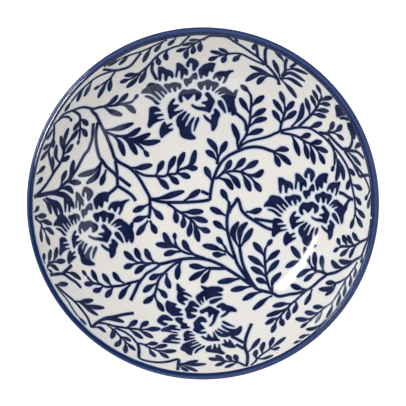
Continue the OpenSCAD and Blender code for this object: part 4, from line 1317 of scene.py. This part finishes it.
def glaze_normal(place, section):
    """The well's normal at a place on it."""
    x, y, z = place
    radius = math.hypot(x, y)
    centre_r, centre_z = section.inner_c
    if radius <= centre_r:
        return (0, 0, 1)
    slope = math.atan2(radius - centre_r, centre_z - z)
    return (-math.sin(slope) * x / radius, -math.sin(slope) * y / radius, math.cos(slope))


# The cosine of the lean from the glaze's normal within which a face counts as an upper one
UPPER_COSINE = 0.3


def lit_like_glaze(piece, section):
    """Gives the print's upper faces the glaze's own normals, so that light runs over both alike."""
    mesh = piece.data
    mesh.polygons.foreach_set("use_smooth", [True] * len(mesh.polygons))
    mesh.edges.foreach_set("use_edge_sharp", [True] * len(mesh.edges))
    at_vertices = [glaze_normal(vertex.co, section) for vertex in mesh.vertices]
    normals = [None] * len(mesh.loops)
    for face in mesh.polygons:
        for corner, vertex in zip(face.loop_indices, face.vertices):
            upper = sum(a * b for a, b in zip(face.normal, at_vertices[vertex])) > UPPER_COSINE
            normals[corner] = at_vertices[vertex] if upper else tuple(face.normal)
    mesh.normals_split_custom_set(normals)


# Materials


def new_material(name, **sockets):
    """A material with one Principled shader, whose constant values are set on its own sockets."""
    material = bpy.data.materials.new(name)
    material.use_nodes = True
    tree = material.node_tree
    shader = tree.nodes["Principled BSDF"]
    for key, value in sockets.items():
        shader.inputs[key.replace("_", " ")].default_value = value
    return material, tree, shader


def object_place(tree):
    """Object coordinates."""
    return add_node(tree, "ShaderNodeTexCoord").outputs["Object"]


def noise(tree, place, per_mm, detail=3.0):
    """Noise from 0 to 1, with so many waves for each millimetre."""
    node = add_node(tree, "ShaderNodeTexNoise", {"Vector": place, "Scale": per_mm / MM, "Detail": detail})
    return node.outputs[0]


def ramp(tree, value, *stops):
    """A colour ramp through the stops, each a place and a colour."""
    node = add_node(tree, "ShaderNodeValToRGB", {"Fac": value})
    elements = node.color_ramp.elements
    while len(elements) < len(stops):
        elements.new(0.5)
    for element, (place, colour) in zip(elements, stops):
        element.position = place
        element.color = colour
    return node.outputs["Color"]


def bump(tree, shader, height, distance, strength):
    """Bump from a height."""
    node = add_node(tree, "ShaderNodeBump", {"Height": height, "Distance": distance, "Strength": strength})
    tree.links.new(node.outputs[0], shader.inputs["Normal"])


def darker(colour, share):
    """A colour with that share of its light."""
    return tuple(part * share for part in colour[:3]) + (1,)


# Lower than glaze itself, so that the far wall is mirrored in the print as faintly as in the photo
GLAZE_IOR = 1.25
# The band's colours start this share of its outline before its inner edge, and wander by about this share
BAND_LEAD = 0.05
BAND_WANDER = 0.05
# On the side of this heading they are drawn up the lip by this share, which falls off with this power, so
# that the round's painted sheen lies further out on that side
BAND_THIN_SIDE = math.radians(212)
BAND_THIN_SHARE = 0.12
BAND_THIN_POWER = 4.0


def glazed(name, roughness=0.07):
    """A finish with a faintly waved gloss: its material, tree and colour socket, and the place in it."""
    material, tree, shader = new_material(name, Roughness=roughness, IOR=GLAZE_IOR)
    place = object_place(tree)
    bump(tree, shader, noise(tree, place, per_mm=0.16, detail=1.0), distance=0.03 * MM, strength=0.35)
    return material, tree, shader.inputs["Base Color"], place


def glaze_white(tree, place, colours):
    """Porcelain's white under clear glaze, in soft drifts of tone."""
    drift = noise(tree, place, per_mm=0.045, detail=2.0)
    return ramp(tree, drift, (0.35, colours.white), (0.7, colours.cool_white))


def glaze_material(name, colours):
    """Clear glaze over white porcelain."""
    material, tree, colour, place = glazed(name)
    tree.links.new(glaze_white(tree, place, colours), colour)
    return material


def bleed_material(name, colours):
    """Glaze tinted by the print beside it: blue at the stroke, and the glaze's own white further out."""
    material, tree, colour, place = glazed(name)
    share = add_node(tree, "ShaderNodeAttribute", attribute_name="bleed").outputs["Fac"]
    mixed = add_node(tree, "ShaderNodeMix", {"Factor": share}, data_type="RGBA")
    white, tint = (socket for socket in mixed.inputs if socket.type == "RGBA")
    tree.links.new(glaze_white(tree, place, colours), white)
    tree.links.new(ramp(tree, share, (0.6, colours.bleed), (1.0, darker(colours.bleed, share=0.7))), tint)
    tree.links.new(next(socket for socket in mixed.outputs if socket.type == "RGBA"), colour)
    return material


def cobalt_material(name, colours):
    """Cobalt print under the glaze, denser in some strokes than in others."""
    material, tree, colour, place = glazed(name)
    density = noise(tree, place, per_mm=0.28, detail=4.0)
    tree.links.new(ramp(tree, density, (0.36, colours.cobalt), (0.72, colours.thin_cobalt)), colour)
    return material


def band_material(name, colours):
    """Cobalt over the lip: deep where it gathers on the inside, thinner and lighter over the round, where
    the lighter blue is partly painted sheen, and dark outside.
    """
    material, tree, colour, place = glazed(name, roughness=0.09)
    along = add_node(tree, "ShaderNodeAttribute", attribute_name="along").outputs["Fac"]
    drift = calc(tree, "SUBTRACT", noise(tree, place, per_mm=0.35), 0.5)
    wander = calc(tree, "MULTIPLY", drift, BAND_WANDER)
    heading = vector_calc(tree, "NORMALIZE", vector_calc(tree, "MULTIPLY", place, (1, 1, 0)))
    thin_side = (math.cos(BAND_THIN_SIDE), math.sin(BAND_THIN_SIDE), 0)
    side = vector_calc(tree, "DOT_PRODUCT", heading, thin_side)
    thin = calc(tree, "POWER", calc(tree, "MULTIPLY_ADD", side, 0.5, 0.5), BAND_THIN_POWER)
    drawn_up = calc(tree, "MULTIPLY_ADD", thin, BAND_THIN_SHARE, -BAND_LEAD)
    # The lighter stop over the lip's round is partly painted sheen as well as cobalt drawn thin
    drawn = ramp(tree, calc(tree, "SUBTRACT", calc(tree, "ADD", along, wander), drawn_up),
                 (0.0, colours.bleed), (0.035, colours.deep_cobalt), (0.15, colours.deep_cobalt),
                 (0.2, colours.lip_cobalt_and_sheen), (0.27, colours.lip_cobalt_and_sheen), (0.31, colours.thin_cobalt))
    tree.links.new(drawn, colour)
    return material


def biscuit_material(name, colours):
    """Bare fired clay: warm, matt and finely grained."""
    material, tree, shader = new_material(name, Roughness=0.82, IOR=1.45)
    grain = noise(tree, object_place(tree), per_mm=2.2, detail=5.0)
    tree.links.new(ramp(tree, grain, (0.3, darker(colours.biscuit, share=0.8)), (0.65, colours.biscuit)),
                   shader.inputs["Base Color"])
    bump(tree, shader, grain, distance=0.05 * MM, strength=0.5)
    return material


# Operators, each for a group of like pieces or the stage


class DishOperator:
    """What the dish's operators share."""

    bl_options = {"REGISTER"}

    def read(self, context):
        """Reads what the user has set, and works out the section."""
        self.dish = context.scene.sauce_dish
        self.section = Section(self.dish.sizes)

    def dress(self, piece, slot, *nodes):
        """Puts a piece on its body and in place of its solids. The slot is not used."""
        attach(piece, BODY)
        if nodes:
            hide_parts(*nodes)


def finish_of(name, build, colours):
    """The material of that name, built when it is first asked for."""
    return bpy.data.materials.get(name) or build(name, colours)


class DISH_OT_coats(DishOperator, bpy.types.Operator):
    """Turn the three coats of clear glaze: in the well, on the outer wall and under the base"""

    bl_idname = "sauce_dish.coats"
    bl_label = "Clear glaze"

    def execute(self, context):
        self.read(context)
        sizes, section = self.dish.sizes, self.section
        outside, inside = section.outside, section.inside
        glaze = finish_of("white_glaze", glaze_material, self.dish.colours)
        well = section.well_line(0, WELL_CHORDS) + section.well_line(sizes.glaze_t, WELL_CLAY_CHORDS)[::-1]
        wall = section.wall_line(0, down_angle(section.outer_c, section.pool(outside)), WALL_CHORDS)
        wall += section.foot_line(outside)
        wall += section.wall_line(sizes.glaze_t, section.seat_angle(outside), WALL_CLAY_CHORDS)[::-1]
        base = section.base_line(0, down_angle(section.outer_c, section.pool(inside)), BASE_CHORDS)[::-1]
        base += section.foot_line(inside)
        base += section.base_line(sizes.glaze_t, section.seat_angle(inside), BASE_CLAY_CHORDS)
        for name, outline, node in (("well_glaze", well, "inner_glaze"), ("wall_glaze", wall, "outer_glaze"),
                                    ("underside_glaze", base, "base_glaze")):
            self.dress(turned_piece(name, outline, glaze, sizes.sides), "clear_glaze", node)
        return {"FINISHED"}


class DISH_OT_lip(DishOperator, bpy.types.Operator):
    """Turn the cobalt band over the lip"""

    bl_idname = "sauce_dish.lip"
    bl_label = "Cobalt lip"

    def execute(self, context):
        self.read(context)
        sizes = self.dish.sizes
        band = finish_of("cobalt_lip", band_material, self.dish.colours)
        outline = self.section.lip_line(0) + self.section.lip_line(sizes.glaze_t)[::-1]
        self.dress(turned_piece("lip_band", outline, band, sizes.sides), "cobalt", "rim_band")
        return {"FINISHED"}


class DISH_OT_clay(DishOperator, bpy.types.Operator):
    """Turn the bare foot ring, and give the bowl's clay its finish"""

    bl_idname = "sauce_dish.clay"
    bl_label = "Bare clay"

    def execute(self, context):
        self.read(context)
        sizes, section = self.dish.sizes, self.section
        clay = finish_of("biscuit", biscuit_material, self.dish.colours)
        bend = math.pi / 2 - sizes.foot_draft
        edge = sizes.foot_edge_r * math.tan(bend / 2)
        inside_c = (sizes.foot_r - sizes.foot_w + edge, sizes.foot_edge_r)
        outside_c = (sizes.foot_r - edge, sizes.foot_edge_r)
        ring = arc(section.outer_c, section.outer_r - sizes.glaze_t, section.seat_angle(section.outside),
                   section.seat_angle(section.inside), SEAT_CHORDS)
        ring += arc(inside_c, sizes.foot_edge_r, -bend, 0, FOOT_EDGE_CHORDS)
        ring += arc(outside_c, sizes.foot_edge_r, 0, bend, FOOT_EDGE_CHORDS)
        self.dress(turned_piece("bare_foot", ring, clay, sizes.sides), "biscuit", "foot_ring")
        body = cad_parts["bowl_body"]
        body.data.materials.clear()
        body.data.materials.append(clay)
        return {"FINISHED"}


class DISH_OT_print(DishOperator, bpy.types.Operator):
    """Lay the print of sprigs and blossoms on the well"""

    bl_idname = "sauce_dish.print"
    bl_label = "Cobalt print"

    def execute(self, context):
        self.read(context)
        sizes = self.dish.print_sizes
        sheet = Sheet(self.section)
        stems, leaves = print_strokes(sheet, sizes)
        outlines = [[(p, PETAL_EDGE) for p in line] for line in print_petals(sheet)]
        strokes, edges = tree_of(stroke_tree, "Brush Strokes"), tree_of(outline_tree, "Outlines")
        petals = tree_of(petal_tree, "Petals")
        well = {"Floor radius": sheet.flat, "Floor height": self.section.floor_z, "Arc radius": sheet.arc_r,
                "Edge": sheet.edge}
        cobalt = {"Sink": sizes.sink,
                  "Material": finish_of("cobalt_print", cobalt_material, self.dish.colours)}
        tint = {"Stand": sizes.stand * BLEED_STAND, "Sink": sizes.stand * -BLEED_FOOT,
                "Material": finish_of("tinted_glaze", bleed_material, self.dish.colours)}
        for name, lines, shape, rim, lift, spread in (
                ("stem", stems, strokes, strokes, STEM_LIFT, STROKE_SPREAD),
                ("leaf", leaves, strokes, strokes, LEAF_LIFT, STROKE_SPREAD),
                ("blossom", outlines, petals, edges, PETAL_LIFT, PETAL_SPREAD)):
            closed = lines is outlines
            values = {**well, "Corner": sizes.corner_r} if closed else well
            stand, width = sizes.stand * lift, sizes.bleed_w * spread
            self.lay(name + "_print", lines, closed, shape, {**values, **cobalt, "Stand": stand}, "cobalt")
            bleed = self.lay(name + "_bleed", lines, closed, rim, {**values, **tint, "Spread": width},
                             "clear_glaze")
            # A tint in the glaze throws no shadow
            bleed.visible_shadow = False
        return {"FINISHED"}

    def lay(self, name, lines, closed, tree, values, slot):
        """Lays lines on the well with a tree, as a piece that is lit like the glaze under it."""
        piece = baked(curve_object(name + "_lines", lines, closed), tree, values, name)
        faced_outwards(piece.data)
        lit_like_glaze(piece, self.section)
        self.dress(piece, slot)
        return piece


# The floor's width in metres, and its own light
FLOOR_W = 6
FLOOR_GLOW = 0.45
# The camera's height over the middle of the lip's round, in metres
CAMERA_RISE = 5.0
# The photo's width, and the dish's width and middle in it, in pixels
PHOTO_PX = 406
DISH_PX = 352.6
DISH_MIDDLE_PX = (202.86, 203.37)
# The light from all around
ROOM_COLOUR = (1.0, 0.995, 0.995, 1)
ROOM_STRENGTH = 0.845
# Cards whose veil is mirrored in the far left of the wall: their headings, distance and height
VEIL_HEADINGS = [math.radians(degrees) for degrees in (-87, -42, 3)]
VEIL_DISTANCE = 1.0
VEIL_HEIGHT = 0.4


class DISH_OT_stage(DishOperator, bpy.types.Operator):
    """Set out the pale floor, the soft lights and the camera overhead"""

    bl_idname = "sauce_dish.stage"
    bl_label = "Stage"

    def execute(self, context):
        self.read(context)
        self.floor(context)
        self.camera(context)
        self.lights(context)
        return {"FINISHED"}

    def floor(self, context):
        """A wide floor that is white in the picture."""
        bpy.ops.mesh.primitive_plane_add(size=FLOOR_W, location=(0, 0, 0))
        floor = context.object
        floor.name = "floor"
        material, *_ = new_material("pale_floor", Roughness=0.9, Base_Color=self.dish.colours.table,
                                    Emission_Color=(1, 1, 1, 1), Emission_Strength=FLOOR_GLOW)
        floor.data.materials.append(material)
        # White in the picture, but without glare on the dish from below
        floor.visible_diffuse = False

    def camera(self, context):
        """A long lens straight overhead, with the far side of the dish at the top of the picture."""
        pixel = 2 * self.dish.sizes.rim_r / DISH_PX
        data = bpy.data.cameras.new("overhead_camera")
        data.lens = data.sensor_width * CAMERA_RISE / (PHOTO_PX * pixel)
        camera = bpy.data.objects.new("overhead_camera", data)
        right, down = (place - PHOTO_PX / 2 for place in DISH_MIDDLE_PX)
        camera.location = (-right * pixel, down * pixel, self.section.lip_c[1] + CAMERA_RISE)
        context.scene.collection.objects.link(camera)
        context.scene.camera = camera

    def lamp(self, context, name, place, target, size, watts, mirrored=True, roll=0.0):
        """A rectangular softbox that faces a target: it lights the dish, or is only mirrored in it."""
        data = bpy.data.lights.new(name, "AREA")
        data.shape = "RECTANGLE"
        data.size, data.size_y = size
        data.energy = watts
        lamp = bpy.data.objects.new(name, data)
        lamp.location = place
        way = [b - a for a, b in zip(place, target)]
        heading = math.atan2(way[1], way[0])
        fall = math.atan2(math.hypot(way[0], way[1]), -way[2])
        facing = mathutils.Euler((fall, 0, heading - math.pi / 2)).to_matrix()
        lamp.rotation_euler = (facing @ mathutils.Matrix.Rotation(roll, 3, "Z")).to_euler()
        lamp.visible_glossy = mirrored
        lamp.visible_diffuse = not mirrored
        lamp.visible_camera = False
        context.scene.collection.objects.link(lamp)
        return lamp

    def lights(self, context):
        """Soft light from all around and from a key lamp, and the lamps that are mirrored in the glaze."""
        scene = context.scene
        scene.view_settings.view_transform = "Standard"
        world = bpy.data.worlds.new("studio")
        world.use_nodes = True
        background = world.node_tree.nodes["Background"]
        background.inputs["Color"].default_value = ROOM_COLOUR
        background.inputs["Strength"].default_value = ROOM_STRENGTH
        world.cycles_visibility.glossy = False
        scene.world = world
        self.lamp(context, "key_softbox", place=(-0.63, 0.49, 1.14), target=(0, 0, 0.02), size=(0.9, 0.6),
                  watts=6.6, mirrored=False)
        self.lamp(context, "streak_strip", place=(-0.743, 0.337, 0.379), target=(-0.743, 0, 0.379),
                  size=(0.922, 0.072), watts=20, roll=math.radians(17.4))
        for i, heading in enumerate(VEIL_HEADINGS, 1):
            place = (VEIL_DISTANCE * math.cos(heading), VEIL_DISTANCE * math.sin(heading), VEIL_HEIGHT)
            self.lamp(context, f"veil_card_{i}", place, target=(0, 0, VEIL_HEIGHT), size=(0.84, 0.35),
                      watts=3.0)
        glint = self.lamp(context, "glint_strip", place=(-0.0228, 0.0132, 0.08),
                          target=(-0.0404, 0.0233, 0.03), size=(0.014, 0.01), watts=0.0055)
        glint.data.spread = math.radians(40)


class DISH_PT_panel(bpy.types.Panel):
    """The dish's sizes, colours and steps"""

    bl_label = "Sauce Dish"
    bl_idname = "DISH_PT_panel"
    bl_space_type = "VIEW_3D"
    bl_region_type = "UI"
    bl_category = "Sauce Dish"

    def draw(self, context):
        dish = context.scene.sauce_dish
        for group in (dish.sizes, dish.print_sizes, dish.colours):
            box = self.layout.box()
            for key in group.__annotations__:
                box.prop(group, key)
        for step in STEPS:
            self.layout.operator(step.bl_idname)


STEPS = (DISH_OT_coats, DISH_OT_lip, DISH_OT_clay, DISH_OT_print, DISH_OT_stage)
CLASSES = (DishSizes, PrintSizes, DishColours, SauceDish) + STEPS + (DISH_PT_panel,)


def register():
    for cls in CLASSES:
        bpy.utils.register_class(cls)
    bpy.types.Scene.sauce_dish = bpy.props.PointerProperty(type=SauceDish)


def unregister():
    del bpy.types.Scene.sauce_dish
    for cls in reversed(CLASSES):
        bpy.utils.unregister_class(cls)


def main():
    register()
    bpy.ops.sauce_dish.coats()
    bpy.ops.sauce_dish.lip()
    bpy.ops.sauce_dish.clay()
    bpy.ops.sauce_dish.print()
    bpy.ops.sauce_dish.stage()


if __name__ == "__main__":
    main()
